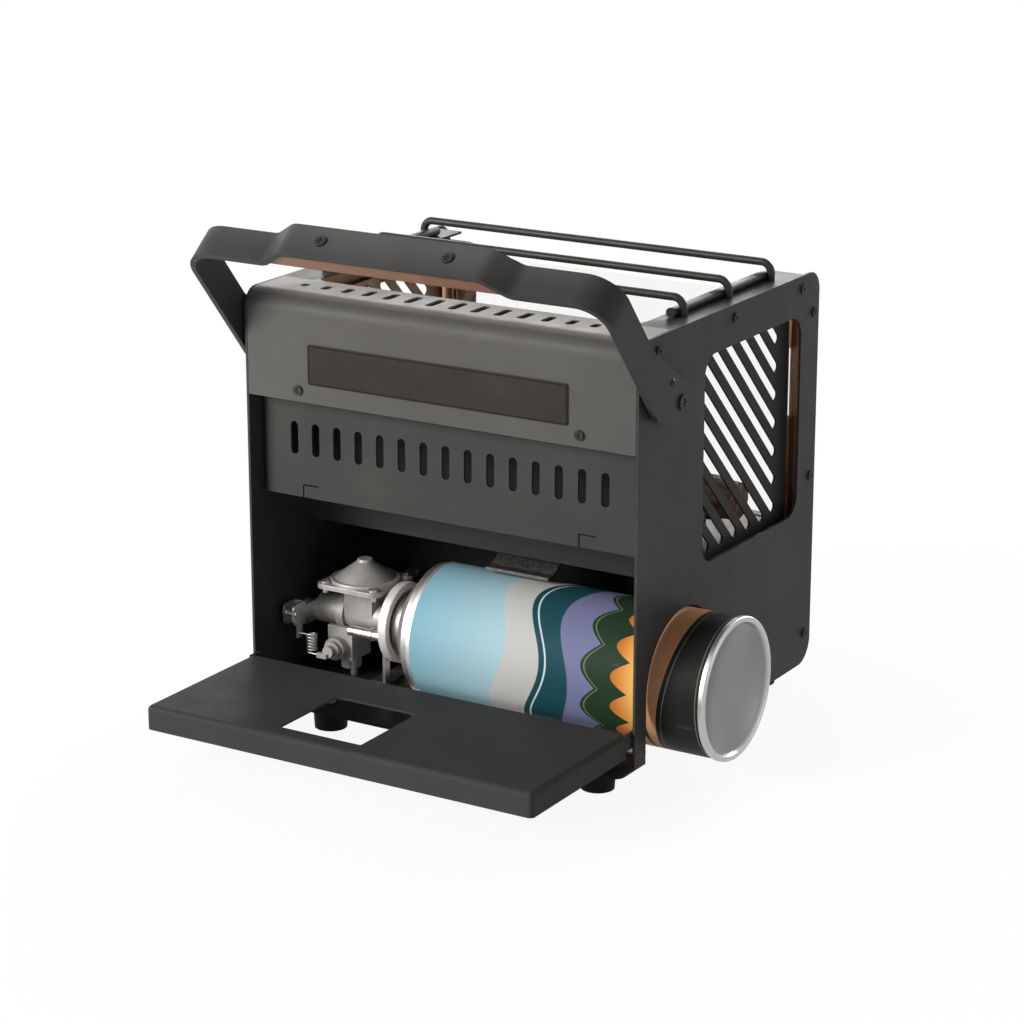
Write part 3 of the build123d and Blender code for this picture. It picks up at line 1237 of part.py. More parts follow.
with BuildPart() as cartridge_bottom:
    with BuildSketch(can_plane()):
        with BuildLine():
            dish_edge = (CAN_END_X - DISH_EDGE_DEPTH, RIM_RADIUS - DISH_EDGE_INSET)
            back_edge = (dish_edge[0] - DISH_WALL, dish_edge[1] + DISH_WALL)
            dish_deep = CAN_END_X - DISH_DEPTH
            inner_round, outer_round = RIM_ROUNDS
            FilletPolyline(
                back_edge,
                (BODY_END, RIM_RADIUS - RIM_THICK),
                (BODY_END, RIM_RADIUS),
                (CAN_END_X, RIM_RADIUS),
                (CAN_END_X, RIM_RADIUS - RIM_THICK),
                dish_edge,
                radius=[0, inner_round, outer_round, outer_round],
            )
            TangentArc((dish_deep, 0), dish_edge, tangent=(0, 1))
            Line((dish_deep, 0), (dish_deep - DISH_WALL, 0))
            TangentArc((dish_deep - DISH_WALL, 0), back_edge, tangent=(0, 1))
        make_face()
    revolve(axis=CAN_AXIS)
keep(cartridge_bottom, "cartridge_bottom")

# Shoulder: rolled rim, dome and collar
CUP_X = COLLAR_X + COLLAR_LENGTH + SHOULDER_WALL / 2 - CUP_WALL
with BuildPart() as cartridge_shoulder:
    with BuildSketch(can_plane()):
        with BuildLine():
            rim_left = CAN_NECK_X - RIM_WIDTH / 2
            dome_foot = SHOULDER_RIM - RIM_THICK
            collar_foot = COLLAR_X + COLLAR_LENGTH
            cup_back = CUP_X + CUP_WALL
            bulge_x = CAN_NECK_X - SHOULDER_BULGE[0]
            bulge_radius = SHOULDER_RIM - SHOULDER_BULGE[1]
            inset = SHOULDER_WALL / sqrt(2)
            Polyline(
                (BODY_START, CAN_RADIUS - SHOULDER_SEAT),
                (BODY_START, SHOULDER_RIM),
                (rim_left, SHOULDER_RIM),
                (rim_left, dome_foot),
            )
            ThreePointArc((rim_left, dome_foot), (bulge_x, bulge_radius), (collar_foot, COLLAR_RADIUS))
            Polyline(
                (collar_foot, COLLAR_RADIUS),
                (COLLAR_X, COLLAR_RADIUS),
                (COLLAR_X, COLLAR_RADIUS - COLLAR_WALL),
                (CUP_X, COLLAR_RADIUS - COLLAR_WALL),
                (CUP_X, 0),
                (cup_back, 0),
                (cup_back, COLLAR_RADIUS - SHOULDER_WALL),
            )
            ThreePointArc(
                (cup_back, COLLAR_RADIUS - SHOULDER_WALL),
                (bulge_x + inset, bulge_radius - inset),
                (rim_left, dome_foot - SHOULDER_WALL),
            )
            Line((rim_left, dome_foot - SHOULDER_WALL), (BODY_START, CAN_RADIUS - SHOULDER_SEAT))
        make_face()
    revolve(axis=CAN_AXIS)
keep(cartridge_shoulder, "cartridge_shoulder")

with BuildPart() as cartridge_valve:
    rod((CUP_X, CAN_Y, CAN_Z), (-1, 0, 0), VALVE_CUP_RADIUS, VALVE_CUP_LENGTH)
    rod((CUP_X, CAN_Y, CAN_Z), (-1, 0, 0), STEM_RADIUS, CUP_X - COLLAR_X + STEM_LENGTH)
keep(cartridge_valve, "cartridge_valve")

# Regulator: cartridge flange, body, diaphragm stack, lower valve, lever bracket and stand
with BuildPart() as regulator_flange:
    flange_cup = (FLANGE_BACK_X + FLANGE_PLATE, CAN_Y, CAN_Z)
    rod((FLANGE_BACK_X, CAN_Y, CAN_Z), (1, 0, 0), FLANGE_RADIUS, FLANGE_LIP)
    rod(flange_cup, (1, 0, 0), FLANGE_RADIUS - FLANGE_LIP_WALL, FLANGE_LIP, mode=Mode.SUBTRACT)
    rod((FLANGE_BACK_X, CAN_Y, CAN_Z), (1, 0, 0), FLANGE_BORE, FLANGE_LIP, mode=Mode.SUBTRACT)
    fillet(regulator_flange.edges().filter_by(GeomType.CIRCLE).group_by(SortBy.RADIUS)[-1], FLANGE_ROUND)
keep(regulator_flange, "regulator_flange")

with BuildPart() as regulator_body:
    block_left, block_right = (BARREL_END_X + end for end in BLOCK_ENDS)
    rod((BARREL_END_X, CAN_Y, CAN_Z), (1, 0, 0), BARREL_RADIUS, BARREL_LENGTH)
    for collar_x in (BARREL_END_X + BARREL_COLLAR_X, FLANGE_BACK_X - BARREL_COLLAR_WIDTH):
        rod((collar_x, CAN_Y, CAN_Z), (1, 0, 0), BARREL_COLLAR, BARREL_COLLAR_WIDTH)
    slab((block_left, CAN_Y - BARREL_RADIUS, CAN_Z), (block_right, CAN_Y + BARREL_RADIUS, DIAPHRAGM_Z))
    stem_bore = STEM_RADIUS + STEM_BORE_FIT
    rod((FLANGE_BACK_X, CAN_Y, CAN_Z), (-1, 0, 0), stem_bore, STEM_BORE_DEPTH, mode=Mode.SUBTRACT)
    spindle_bore = SPINDLE_RADIUS + SHAFT_FIT
    rod((BARREL_END_X, CAN_Y, CAN_Z), (1, 0, 0), spindle_bore, SPINDLE_DEPTH, mode=Mode.SUBTRACT)
keep(regulator_body, "regulator_body")

DIAPHRAGM_SCREW_PITCH = DIAPHRAGM_SIZE - 2 * DIAPHRAGM_SCREW_INSET
with BuildPart() as diaphragm_plate:
    with BuildSketch(flat_plane(DIAPHRAGM_Z)):
        with Locations((DIAPHRAGM_X, CAN_Y)):
            RectangleRounded(DIAPHRAGM_SIZE, DIAPHRAGM_SIZE, DIAPHRAGM_CORNER)
            with GridLocations(DIAPHRAGM_SCREW_PITCH, DIAPHRAGM_SCREW_PITCH, 2, 2):
                Circle(SCREW_RADIUS + HOLE_FIT, mode=Mode.SUBTRACT)
    extrude(amount=DIAPHRAGM_THICK)
    fillet(diaphragm_plate.faces().sort_by(Axis.Z)[-1].outer_wire().edges(), DIAPHRAGM_ROUND)
keep(diaphragm_plate, "diaphragm_plate")

with BuildPart() as diaphragm_dome:
    dome_plane = Plane(origin=spot(DIAPHRAGM_X, CAN_Y, DOME_SEAT), x_dir=(1, 0, 0), z_dir=(0, -1, 0))
    brim_width, brim_height = DOME_BRIM
    cap_radius, cap_height = DOME_CAP
    with BuildSketch(dome_plane):
        with BuildLine():
            FilletPolyline(
                (0, 0),
                (DOME_RADIUS, 0),
                (DOME_RADIUS, brim_height),
                (DOME_RADIUS - brim_width, brim_height),
                (cap_radius, DOME_RISE - cap_height),
                (cap_radius, DOME_RISE),
                (0, DOME_RISE),
                radius=[0, 0, *DOME_ROUNDS, 0],
                close=True,
            )
        make_face()
    revolve(axis=Axis(dome_plane.origin, (0, 0, 1)))
keep(diaphragm_dome, "diaphragm_dome")

with BuildPart() as diaphragm_screws:
    reach = DIAPHRAGM_SCREW_PITCH / 2
    for dx in (-reach, reach):
        for dy in (-reach, reach):
            seat = (DIAPHRAGM_X + dx, CAN_Y + dy, DOME_SEAT)
            screw(seat, (0, 0, -1), length=DIAPHRAGM_THICK + DIAPHRAGM_SCREW_PROUD)
keep(diaphragm_screws, "diaphragm_screws")

with BuildPart() as pilot_pipe:
    pilot_x = VALVE_X + VALVE_RIGHT
    pilot_y = CAN_Y - BARREL_RADIUS - PILOT_OUT
    pilot_z = CAN_Z - PILOT_DROP
    rod((pilot_x, pilot_y, pilot_z), (1, 0, 0), PILOT_RADIUS, FLANGE_BACK_X - pilot_x)
    rod((FLANGE_BACK_X - PILOT_NUT_BACK, pilot_y, pilot_z), (1, 0, 0), *PILOT_NUT)
keep(pilot_pipe, "pilot_pipe")

with BuildPart() as lower_valve:
    valve_under = VALVE_Z - VALVE_UNDER
    slab(
        (VALVE_X - VALVE_LEFT, VALVE_REAR, valve_under),
        (VALVE_X + VALVE_RIGHT, CAN_Y + VALVE_FRONT, CAN_Z - VALVE_TOP_DROP),
    )
    rod((BARREL_END_X, CAN_Y, CAN_Z), (1, 0, 0), BARREL_COLLAR, BARREL_LENGTH, mode=Mode.SUBTRACT)
    step_y = VALVE_REAR
    for step_radius, step_length in VALVE_BARRELS:
        rod((VALVE_X, step_y, VALVE_Z), (0, -1, 0), step_radius, step_length)
        step_y -= step_length
    sump_x, sump_y = VALVE_SUMP_PLACE
    sump_length = valve_under - BASE_SHEET - VALVE_SUMP_GAP
    rod((VALVE_X + sump_x, CAN_Y - sump_y, valve_under), (0, 0, -1), VALVE_SUMP_RADIUS, sump_length)
    slab(
        (LUG_FACE_X, HOOK_Y - LUG_HALF, SPRING_LOW_Z - LUG_HALF),
        (VALVE_X, HOOK_Y + LUG_HALF, SPRING_LOW_Z + LUG_HALF),
    )
keep(lower_valve, "lower_valve")

# Lever bracket: a fork of two cheeks on a web, carried by an arm from the barrel's end
with BuildPart() as lever_bracket:
    fork_left = LEVER_FACE_X - LEVER_WIDTH
    arm_left = LEVER_FACE_X - LEVER_SHEET
    cheek_y = LEVER_Y + CHEEK_SHIFT[0]
    cheek_z = LEVER_Z + CHEEK_SHIFT[1]
    web_front = cheek_y + CHEEK_SIZE[0] / 2
    web_rear = web_front - LEVER_SHEET
    cheek_low = cheek_z - CHEEK_SIZE[1] / 2
    cheek_high = cheek_z + CHEEK_SIZE[1] / 2
    for cheek in (fork_left, arm_left):
        with BuildSketch(side_plane(cheek)):
            with Locations((cheek_y, cheek_z)):
                RectangleRounded(*CHEEK_SIZE, CHEEK_ROUND)
            with Locations((LEVER_Y, LEVER_Z)):
                Circle(LEVER_PIN_RADIUS + LEVER_PIN_FIT, mode=Mode.SUBTRACT)
        extrude(amount=LEVER_SHEET)
    slab((fork_left, web_rear, cheek_low), (LEVER_FACE_X, web_front, cheek_high))
    slab(
        (arm_left, web_rear, CAN_Z - LEVER_ARM_HALF),
        (LEVER_FACE_X, CAN_Y + LEVER_ARM_PAST, CAN_Z + LEVER_ARM_HALF),
    )
    slab(
        (arm_left, HOOK_Y - HOOK_HALF, SPRING_HIGH_Z - HOOK_HALF),
        (LEVER_FACE_X, HOOK_Y + HOOK_HALF, cheek_low + HOOK_HALF),
    )
    spindle_hole = SPINDLE_RADIUS + SPINDLE_CLEAR
    rod((fork_left, CAN_Y, CAN_Z), (1, 0, 0), spindle_hole, LEVER_WIDTH, mode=Mode.SUBTRACT)
keep(lever_bracket, "lever_bracket")

with BuildPart() as lever_pin:
    pin_left = LEVER_FACE_X - LEVER_WIDTH - LEVER_PIN_PROUD
    rod((pin_left, LEVER_Y, LEVER_Z), (1, 0, 0), LEVER_PIN_RADIUS, LEVER_WIDTH + 2 * LEVER_PIN_PROUD)
keep(lever_pin, "lever_pin")


def biarc(start, start_way, end, end_way):
    """Two arcs that leave and reach the given points along the given directions."""
    chord = end - start
    ways = start_way + end_way
    spread = 2 * (1 - start_way.dot(end_way))
    reach = (sqrt(chord.dot(ways) ** 2 + spread * chord.dot(chord)) - chord.dot(ways)) / spread
    joint = (start + end + (start_way - end_way) * reach) * 0.5
    joint_way = (end - end_way * reach) - (start + start_way * reach)
    TangentArc(start, joint, tangent=start_way)
    TangentArc(joint, end, tangent=joint_way.normalized())


# Coil spring: left-hand turns between the valve's lug and the lever bracket
SPRING_STEPS = 4 * SPRING_TURNS
with BuildPart() as lever_spring:
    turns = []
    for step in range(SPRING_STEPS + 1):
        angle = pi / 2 * (step + 1)
        height = SPRING_LOW_Z + SPRING_PITCH * step / 4
        place = (SPRING_X + SPRING_RADIUS * cos(angle), SPRING_Y - SPRING_RADIUS * sin(angle), height)
        climb = SPRING_PITCH / (2 * pi * SPRING_RADIUS) if 0 < step < SPRING_STEPS else 0
        way = Vector(-sin(angle), -cos(angle), climb).normalized()
        turns.append((Vector(*spot(*place)), way))
    with BuildLine() as spring_path:
        first, last = turns[0][0], turns[-1][0]
        Line(Vector(spot(LUG_FACE_X, 0, 0)[0], first.Y, first.Z), first)
        for (start, start_way), (end, end_way) in zip(turns, turns[1:]):
            biarc(start, start_way, end, end_way)
        Line(last, Vector(spot(LEVER_FACE_X, 0, 0)[0], last.Y, last.Z))
    spring_wire = spring_path.wires()[0]
    with BuildSketch(Plane(origin=spring_wire @ 0, z_dir=spring_wire % 0)):
        Circle(SPRING_WIRE / 2)
    sweep(path=spring_wire)
keep(lever_spring, "lever_spring")

samples = [spring_wire @ (index / SPRING_SAMPLES) for index in range(SPRING_SAMPLES + 1)]
apart = ceil(pi * SPRING_RADIUS * SPRING_SAMPLES / spring_wire.length)
pairs = ((a, b) for i, a in enumerate(samples) for b in samples[i + apart:])
print("spring least gap to itself", round(min((a - b).length for a, b in pairs) - SPRING_WIRE, 2))

with BuildPart() as regulator_stand:
    leg_left = FLANGE_BACK_X - STAND_SHEET
    stand_rear = CAN_Y - STAND_HALF
    stand_front = CAN_Y + STAND_HALF
    stand_top = CAN_Z - STAND_TOP_DROP
    foot_reach, foot_sheet = STAND_FOOT
    slab((leg_left, stand_rear, BASE_SHEET), (FLANGE_BACK_X, stand_rear + STAND_LEG, stand_top))
    slab((leg_left, stand_front - STAND_LEG, BASE_SHEET), (FLANGE_BACK_X, stand_front, stand_top))
    slab((leg_left, stand_rear, stand_top - STAND_LEG), (FLANGE_BACK_X, stand_front, stand_top))
    slab(
        (FLANGE_BACK_X - foot_reach, stand_rear, BASE_SHEET),
        (FLANGE_BACK_X, stand_front, BASE_SHEET + foot_sheet),
    )
keep(regulator_stand, "regulator_stand")

with BuildPart() as valve_post:
    post_x, post_y = POST_OFFSET
    post_height = VALVE_Z - VALVE_UNDER - BASE_SHEET
    rod((VALVE_X + post_x, CAN_Y - post_y, BASE_SHEET), (0, 0, 1), POST_RADIUS, post_height)
keep(valve_post, "valve_post")

with BuildPart() as piezo_igniter:
    piezo = (-INNER_HALF, DIVIDER_Y - PIEZO_SETBACK, PIEZO_Z)
    rod(piezo, (1, 0, 0), *PIEZO_HEAD)
    rod(piezo, (1, 0, 0), PIEZO_BODY[0], PIEZO_HEAD[1] + PIEZO_BODY[1])
keep(piezo_igniter, "piezo_igniter")

# Control knob and valve spindle on the left side
KNOB_FACE = HALF_WIDTH + KNOB_STANDOFF
KNOB_DEPTH = KNOB_REACH - KNOB_STANDOFF
with BuildPart() as valve_spindle:
    spindle_start = BARREL_END_X + SPINDLE_DEPTH - SPINDLE_END_GAP
    spindle_end = KNOB_END_X + KNOB_COVER
    rod((spindle_start, CAN_Y, CAN_Z), (-1, 0, 0), SPINDLE_RADIUS, spindle_start - spindle_end)
keep(valve_spindle, "valve_spindle")

with BuildPart() as control_knob:
    rod((-KNOB_FACE, CAN_Y, CAN_Z), (-1, 0, 0), KNOB_RADIUS, KNOB_SKIRT)
    rod((-KNOB_FACE, CAN_Y, CAN_Z), (-1, 0, 0), KNOB_RADIUS - KNOB_SKIRT_STEP, KNOB_DEPTH)
    fillet(control_knob.faces().sort_by(Axis.X)[0].edges(), KNOB_ROUND)
    with BuildSketch(side_plane(KNOB_END_X)):
        with Locations((CAN_Y, CAN_Z)):
            with PolarLocations(KNOB_RADIUS - KNOB_FLUTE_INSET, KNOB_FLUTES):
                Circle(KNOB_FLUTE_RADIUS)
    extrude(amount=KNOB_DEPTH - KNOB_SKIRT, mode=Mode.SUBTRACT)
    rod((-KNOB_FACE, CAN_Y, CAN_Z), (-1, 0, 0), SPINDLE_RADIUS, KNOB_DEPTH - KNOB_COVER, mode=Mode.SUBTRACT)
    mark_width, mark_length, mark_depth = KNOB_MARK
    slab(
        (KNOB_END_X, CAN_Y - mark_width / 2, CAN_Z + KNOB_MARK_START),
        (KNOB_END_X + mark_depth, CAN_Y + mark_width / 2, CAN_Z + KNOB_MARK_START + mark_length),
        mode=Mode.SUBTRACT,
    )
keep(control_knob, "control_knob")
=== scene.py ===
"""Looks of the camping gas heater: materials, ceramic logs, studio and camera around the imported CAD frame.

Lengths are in metres and colours are linear RGB. Noise scales are in repeats per metre.
"""

import math

import bpy
from mathutils import Matrix, Vector, noise


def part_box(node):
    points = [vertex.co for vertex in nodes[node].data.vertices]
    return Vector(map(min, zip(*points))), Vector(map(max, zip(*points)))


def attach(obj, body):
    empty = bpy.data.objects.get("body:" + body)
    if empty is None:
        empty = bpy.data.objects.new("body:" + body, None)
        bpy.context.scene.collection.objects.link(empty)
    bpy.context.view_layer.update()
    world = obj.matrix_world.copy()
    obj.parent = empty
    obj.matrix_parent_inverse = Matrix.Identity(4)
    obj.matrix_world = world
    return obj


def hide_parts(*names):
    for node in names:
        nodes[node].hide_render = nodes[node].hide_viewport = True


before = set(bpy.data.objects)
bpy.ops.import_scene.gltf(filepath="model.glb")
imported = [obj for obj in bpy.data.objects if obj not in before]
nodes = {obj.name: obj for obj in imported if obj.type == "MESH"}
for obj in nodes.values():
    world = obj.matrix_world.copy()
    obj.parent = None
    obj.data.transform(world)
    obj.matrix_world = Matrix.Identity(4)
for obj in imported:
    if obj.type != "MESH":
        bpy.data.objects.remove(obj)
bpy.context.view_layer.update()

WHITE = (1.0, 1.0, 1.0)
# Most values of a noise texture lie in this range.
NOISE_BODY = (0.3, 0.7)
# Targets for a span that starts at one and fades out.
FADE_OUT = (1.0, 0.0)

# Material kit


def shade(colour, factor):
    """The colour made lighter or darker."""
    return tuple(factor * value for value in colour)


def middle_of(low, high):
    """Middle of a box."""
    return [(a + b) / 2 for a, b in zip(low, high)]


class Paint:
    """One node material. Each call adds a node and returns its output socket."""

    def __init__(self, name):
        self.material = bpy.data.materials.new(name)
        self.material.use_nodes = True
        self.tree = self.material.node_tree
        self.bsdf = self.tree.nodes["Principled BSDF"]
        self.spot = self.tree.nodes.new("ShaderNodeTexCoord").outputs["Object"]

    def node(self, kind, inputs, **settings):
        made = self.tree.nodes.new("ShaderNode" + kind)
        for key, value in settings.items():
            setattr(made, key, value)
        for key, value in inputs.items():
            self.put(made.inputs[key], value)
        return made

    def put(self, socket, value):
        if isinstance(value, bpy.types.NodeSocket):
            self.tree.links.new(value, socket)
        else:
            socket.default_value = value

    def surface(self, **values):
        """Sets the shader's sockets, with underscores for the spaces in their names."""
        for key, value in values.items():
            self.put(self.bsdf.inputs[key.replace("_", " ")], value)

    def stretched(self, x, y, z):
        """Object coordinates scaled along each axis: a small scale draws a texture out that way."""
        return self.node("Mapping", {"Vector": self.spot, "Scale": (x, y, z)}).outputs[0]

    def noise(self, scale, detail=3.0, rough=0.55, spot=None, warp=0.0):
        values = {"Vector": spot or self.spot, "Scale": scale, "Detail": detail, "Roughness": rough}
        values["Distortion"] = warp
        return self.node("TexNoise", values).outputs[0]

    def ramp(self, value, stops):
        made = self.node("ValToRGB", {"Fac": value})
        steps = made.color_ramp.elements
        while len(steps) < len(stops):
            steps.new(0.5)
        for step, (place, colour) in zip(steps, stops):
            step.position = place
            step.color = (*colour, 1.0)
        return made.outputs[0]

    def span(self, value, source, target=(0.0, 1.0)):
        """Maps the source range to the target range and holds the ends."""
        values = {"Value": value, "From Min": source[0], "From Max": source[1]}
        values["To Min"], values["To Max"] = target
        return self.node("MapRange", values, clamp=True).outputs[0]

    def math(self, operation, first, second=0.0):
        return self.node("Math", {0: first, 1: second}, operation=operation).outputs[0]

    def mix(self, factor, first, second):
        made = self.node("Mix", {}, data_type="RGBA")
        for socket, value in zip((made.inputs[0], made.inputs[6], made.inputs[7]), (factor, first, second)):
            self.put(socket, (*value, 1.0) if isinstance(value, tuple) else value)
        return made.outputs[2]

    def bump(self, height, strength, depth, under=None):
        values = {"Height": height, "Strength": strength, "Distance": depth}
        if under is not None:
            values["Normal"] = under
        return self.node("Bump", values).outputs[0]

    def axes(self, spot=None):
        return self.node("SeparateXYZ", {0: spot or self.spot}).outputs

    def facing(self, normal):
        """The way that a face looks, by axis: Normal is the smoothed one, True Normal the flat one."""
        return self.axes(self.node("NewGeometry", {}).outputs[normal])

    def edges(self, radius, turn_range):
        """1 along sharp edges, 0 on flat faces."""
        rounded = self.node("Bevel", {"Radius": radius}, samples=4).outputs[0]
        flat = self.node("NewGeometry", {}).outputs["Normal"]
        turn = self.node("VectorMath", {0: rounded, 1: flat}, operation="DOT_PRODUCT").outputs["Value"]
        return self.span(self.math("SUBTRACT", 1.0, turn), turn_range)

    def worn(self, amount, radius):
        """Edge wear broken up by noise."""
        rub = self.span(self.noise(scale=140.0, detail=4.0, rough=0.65), (0.42, 0.68))
        edge = self.edges(radius, turn_range=(0.02, 0.18))
        return self.math("MULTIPLY", self.math("MULTIPLY", edge, rub), amount)


# Materials


def coat(name, dark, light, rough, gloss, lit_top=None, firelit=None):
    """Satin powder coat: fine orange peel, soft cloudiness, handling marks and lighter worn edges.

    A range of heights and a colour, if given, turn the coat in patches to that lighter colour above those
    heights: a painted highlight on the top.
    A range of y and a brown, if given, turn faces that look rearward beyond that y brown: painted firelight.
    """
    p = Paint(name)
    cloud = p.noise(scale=16.0, detail=4.0, rough=0.6)
    colour = p.mix(p.span(cloud, NOISE_BODY), dark, light)
    # Painted highlight: above the given heights the coat turns lighter in patches, as light on the top, not a
    # colour of the coat.
    if lit_top is not None:
        heights, lit_colour = lit_top
        height = p.span(p.axes()["Z"], heights)
        patches = p.span(p.noise(scale=24.0), (0.25, 0.75), (0.55, 1.0))
        colour = p.mix(p.math("MULTIPLY", height, patches), colour, lit_colour)
    # Painted firelight: faces that look rearward, towards the fire, turn brown as if lit by the flame.
    if firelit is not None:
        depths, brown = firelit
        rearward = p.span(p.facing("True Normal")["Y"], (-0.6, -0.5), FADE_OUT)
        behind_glass = p.span(p.axes()["Y"], depths)
        colour = p.mix(p.math("MULTIPLY", rearward, behind_glass), colour, brown)
    speck = p.span(p.noise(scale=2600.0, detail=1.0), (0.62, 0.72), (0.0, 0.2))
    colour = p.mix(speck, colour, shade(light, 1.8))
    colour = p.mix(p.worn(amount=0.5, radius=0.0007), colour, shade(light, 2.2))
    smear = p.noise(scale=60.0, detail=5.0, rough=0.62, spot=p.stretched(1.0, 1.0, 0.35), warp=0.4)
    peel = p.bump(p.noise(scale=850.0, detail=2.0, rough=0.5), strength=0.10, depth=0.0004)
    p.surface(
        Base_Color=colour,
        Roughness=p.span(smear, (0.3, 0.75), (rough - 0.05, rough + 0.09)),
        Specular_IOR_Level=gloss,
        Normal=p.bump(p.noise(scale=2800.0, detail=1.0), strength=0.05, depth=0.0002, under=peel),
    )
    return p.material


def plated(name, dark, light, rough, grain, tilt=(1.0, 1.0, 1.0)):
    """Plated or rolled steel: streaky colour and gloss along the tilt, and stains."""
    p = Paint(name)
    streak = p.noise(scale=grain, detail=4.0, rough=0.6, spot=p.stretched(*tilt))
    stain = p.noise(scale=70.0, detail=4.0, rough=0.6)
    colour = p.mix(p.span(streak, NOISE_BODY), dark, light)
    colour = p.mix(p.span(stain, (0.52, 0.75), (0.0, 0.45)), colour, shade(dark, 0.55))
    p.surface(
        Base_Color=colour,
        Metallic=1.0,
        Roughness=p.span(p.math("ADD", streak, stain), (0.6, 1.4), (rough - 0.08, rough + 0.14)),
        Normal=p.bump(streak, strength=0.08, depth=0.0003),
    )
    return p.material


def casting(name, dark, light, rough):
    """Shot-blasted die casting: pebbled skin, brighter rubbed edges, darker hollows."""
    bright_edge = (0.80, 0.79, 0.77)
    p = Paint(name)
    pits = p.noise(scale=1500.0, rough=0.6)
    cloud = p.noise(scale=110.0, detail=4.0, rough=0.6)
    colour = p.mix(p.span(cloud, NOISE_BODY), dark, light)
    colour = p.mix(p.span(pits, (0.55, 0.72), (0.0, 0.4)), colour, shade(dark, 0.6))
    colour = p.mix(p.worn(amount=0.8, radius=0.0008), colour, bright_edge)
    p.surface(
        Base_Color=colour,
        Metallic=0.35,
        Roughness=p.span(pits, NOISE_BODY, (rough, rough + 0.16)),
        Specular_IOR_Level=0.3,
        Normal=p.bump(pits, strength=0.22, depth=0.0004),
    )
    return p.material


def liner(name):
    """Firebox sheet with brown, blue and straw heat colours over the fire bed, the warm ones also painted
    firelight, soot, and a black outside.
    """
    tint_heights = (0.084, 0.2)
    bed_heights = (0.0850, 0.0875)
    # Heat colours, and partly painted firelight: the warm browns and straw stand in for the flame's light
    # inside the firebox.
    tints = [
        (0.0, (0.20, 0.15, 0.12)),
        (0.16, (0.19, 0.16, 0.18)),
        (0.34, (0.27, 0.16, 0.10)),
        (0.58, (0.36, 0.24, 0.15)),
        (0.85, (0.34, 0.28, 0.23)),
    ]
    soot_black = (0.05, 0.044, 0.038)
    outside_black = (0.030, 0.029, 0.028)
    sheen = 0.9

    p = Paint(name)
    clouds = p.noise(scale=18.0, detail=4.0, rough=0.6)
    wander = p.math("MULTIPLY", p.math("SUBTRACT", clouds, 0.5), 0.055)
    colour = p.ramp(p.span(p.math("ADD", p.axes()["Z"], wander), tint_heights), tints)
    roll = p.noise(scale=900.0, rough=0.6, spot=p.stretched(1.0, 1.0, 0.04))
    bed = p.span(p.axes()["Z"], bed_heights, FADE_OUT)
    smoke = p.span(p.noise(scale=45.0, detail=5.0, rough=0.65), (0.42, 0.70), (0.40, 0.88))
    soot = p.math("MAXIMUM", smoke, p.math("MULTIPLY", bed, 0.6))
    colour = p.mix(soot, colour, soot_black)
    facing = p.facing("Normal")
    outside = p.span(p.math("MINIMUM", facing["Y"], facing["Z"]), (-0.4, -0.3), FADE_OUT)
    dull = p.math("MULTIPLY", p.math("MAXIMUM", outside, bed), sheen)
    p.surface(
        Base_Color=p.mix(outside, colour, outside_black),
        Metallic=p.math("SUBTRACT", sheen, dull),
        Roughness=p.math("ADD", p.span(roll, NOISE_BODY, (0.42, 0.58)), p.math("MULTIPLY", outside, 0.1)),
        Specular_IOR_Level=0.2,
        Normal=p.bump(roll, strength=0.06, depth=0.0003),
    )
    return p.material


def guard(name):
    """Guard plate: dark satin coat towards the window, brown metal towards the fire, the brown painted as the
    flame's light.
    """
    firelight_browns = [(0.3, (0.10, 0.060, 0.038)), (0.5, (0.20, 0.115, 0.070)), (0.7, (0.26, 0.165, 0.105))]
    dark, light = (0.015, 0.014, 0.013), (0.022, 0.020, 0.019)
    worn_edge = (0.10, 0.085, 0.075)

    p = Paint(name)
    # Painted firelight: faces that look inward, towards the fire, are browned as if lit by the flame.
    outward = p.math("MULTIPLY", p.facing("True Normal")["X"], p.axes()["X"])
    inner = p.span(outward, (-0.02, -0.01), FADE_OUT)
    cloud = p.noise(scale=26.0, detail=4.0, rough=0.6)
    plain = p.mix(p.span(cloud, NOISE_BODY), dark, light)
    colour = p.mix(inner, plain, p.ramp(cloud, firelight_browns))
    grain = p.noise(scale=1000.0, rough=0.6)
    p.surface(
        Base_Color=p.mix(p.worn(amount=0.4, radius=0.0006), colour, worn_edge),
        Metallic=p.math("MULTIPLY", inner, 0.6),
        Roughness=p.span(grain, NOISE_BODY, (0.42, 0.56)),
        Specular_IOR_Level=0.08,
        Normal=p.bump(grain, strength=0.1, depth=0.0003),
    )
    return p.material


def spun(name, low, high):
    """Pressed tinplate end: smooth dish painted darker as painted shade inside a brighter rolled rim, a few
    handling marks.
    """
    rim_radii = (0.0300, 0.0310)
    # Painted shade: the dish is much darker than the tinplate of the rim, standing in for the dark
    # surroundings it reflects.
    dark, light = (0.19, 0.19, 0.188), (0.22, 0.22, 0.217)
    rim, mark = (0.46, 0.46, 0.455), (0.16, 0.16, 0.158)

    p = Paint(name)
    axes = p.axes()
    middle = middle_of(low, high)
    from_y = p.math("SUBTRACT", axes["Y"], middle[1])
    from_z = p.math("SUBTRACT", axes["Z"], middle[2])
    squares = p.math("ADD", p.math("MULTIPLY", from_y, from_y), p.math("MULTIPLY", from_z, from_z))
    away = p.math("SQRT", squares)
    cloud = p.noise(scale=40.0, rough=0.5)
    marks = p.span(p.noise(scale=75.0, detail=5.0, rough=0.65), (0.55, 0.8), (0.0, 0.3))
    colour = p.mix(p.span(cloud, NOISE_BODY), dark, light)
    colour = p.mix(p.span(away, rim_radii), colour, rim)
    p.surface(
        Base_Color=p.mix(marks, colour, mark),
        Metallic=0.9,
        Roughness=p.math("ADD", p.span(cloud, NOISE_BODY, (0.30, 0.36)), p.math("MULTIPLY", marks, 0.2)),
        Normal=p.bump(p.noise(scale=160.0, detail=2.0), strength=0.02, depth=0.0004),
    )
    return p.material


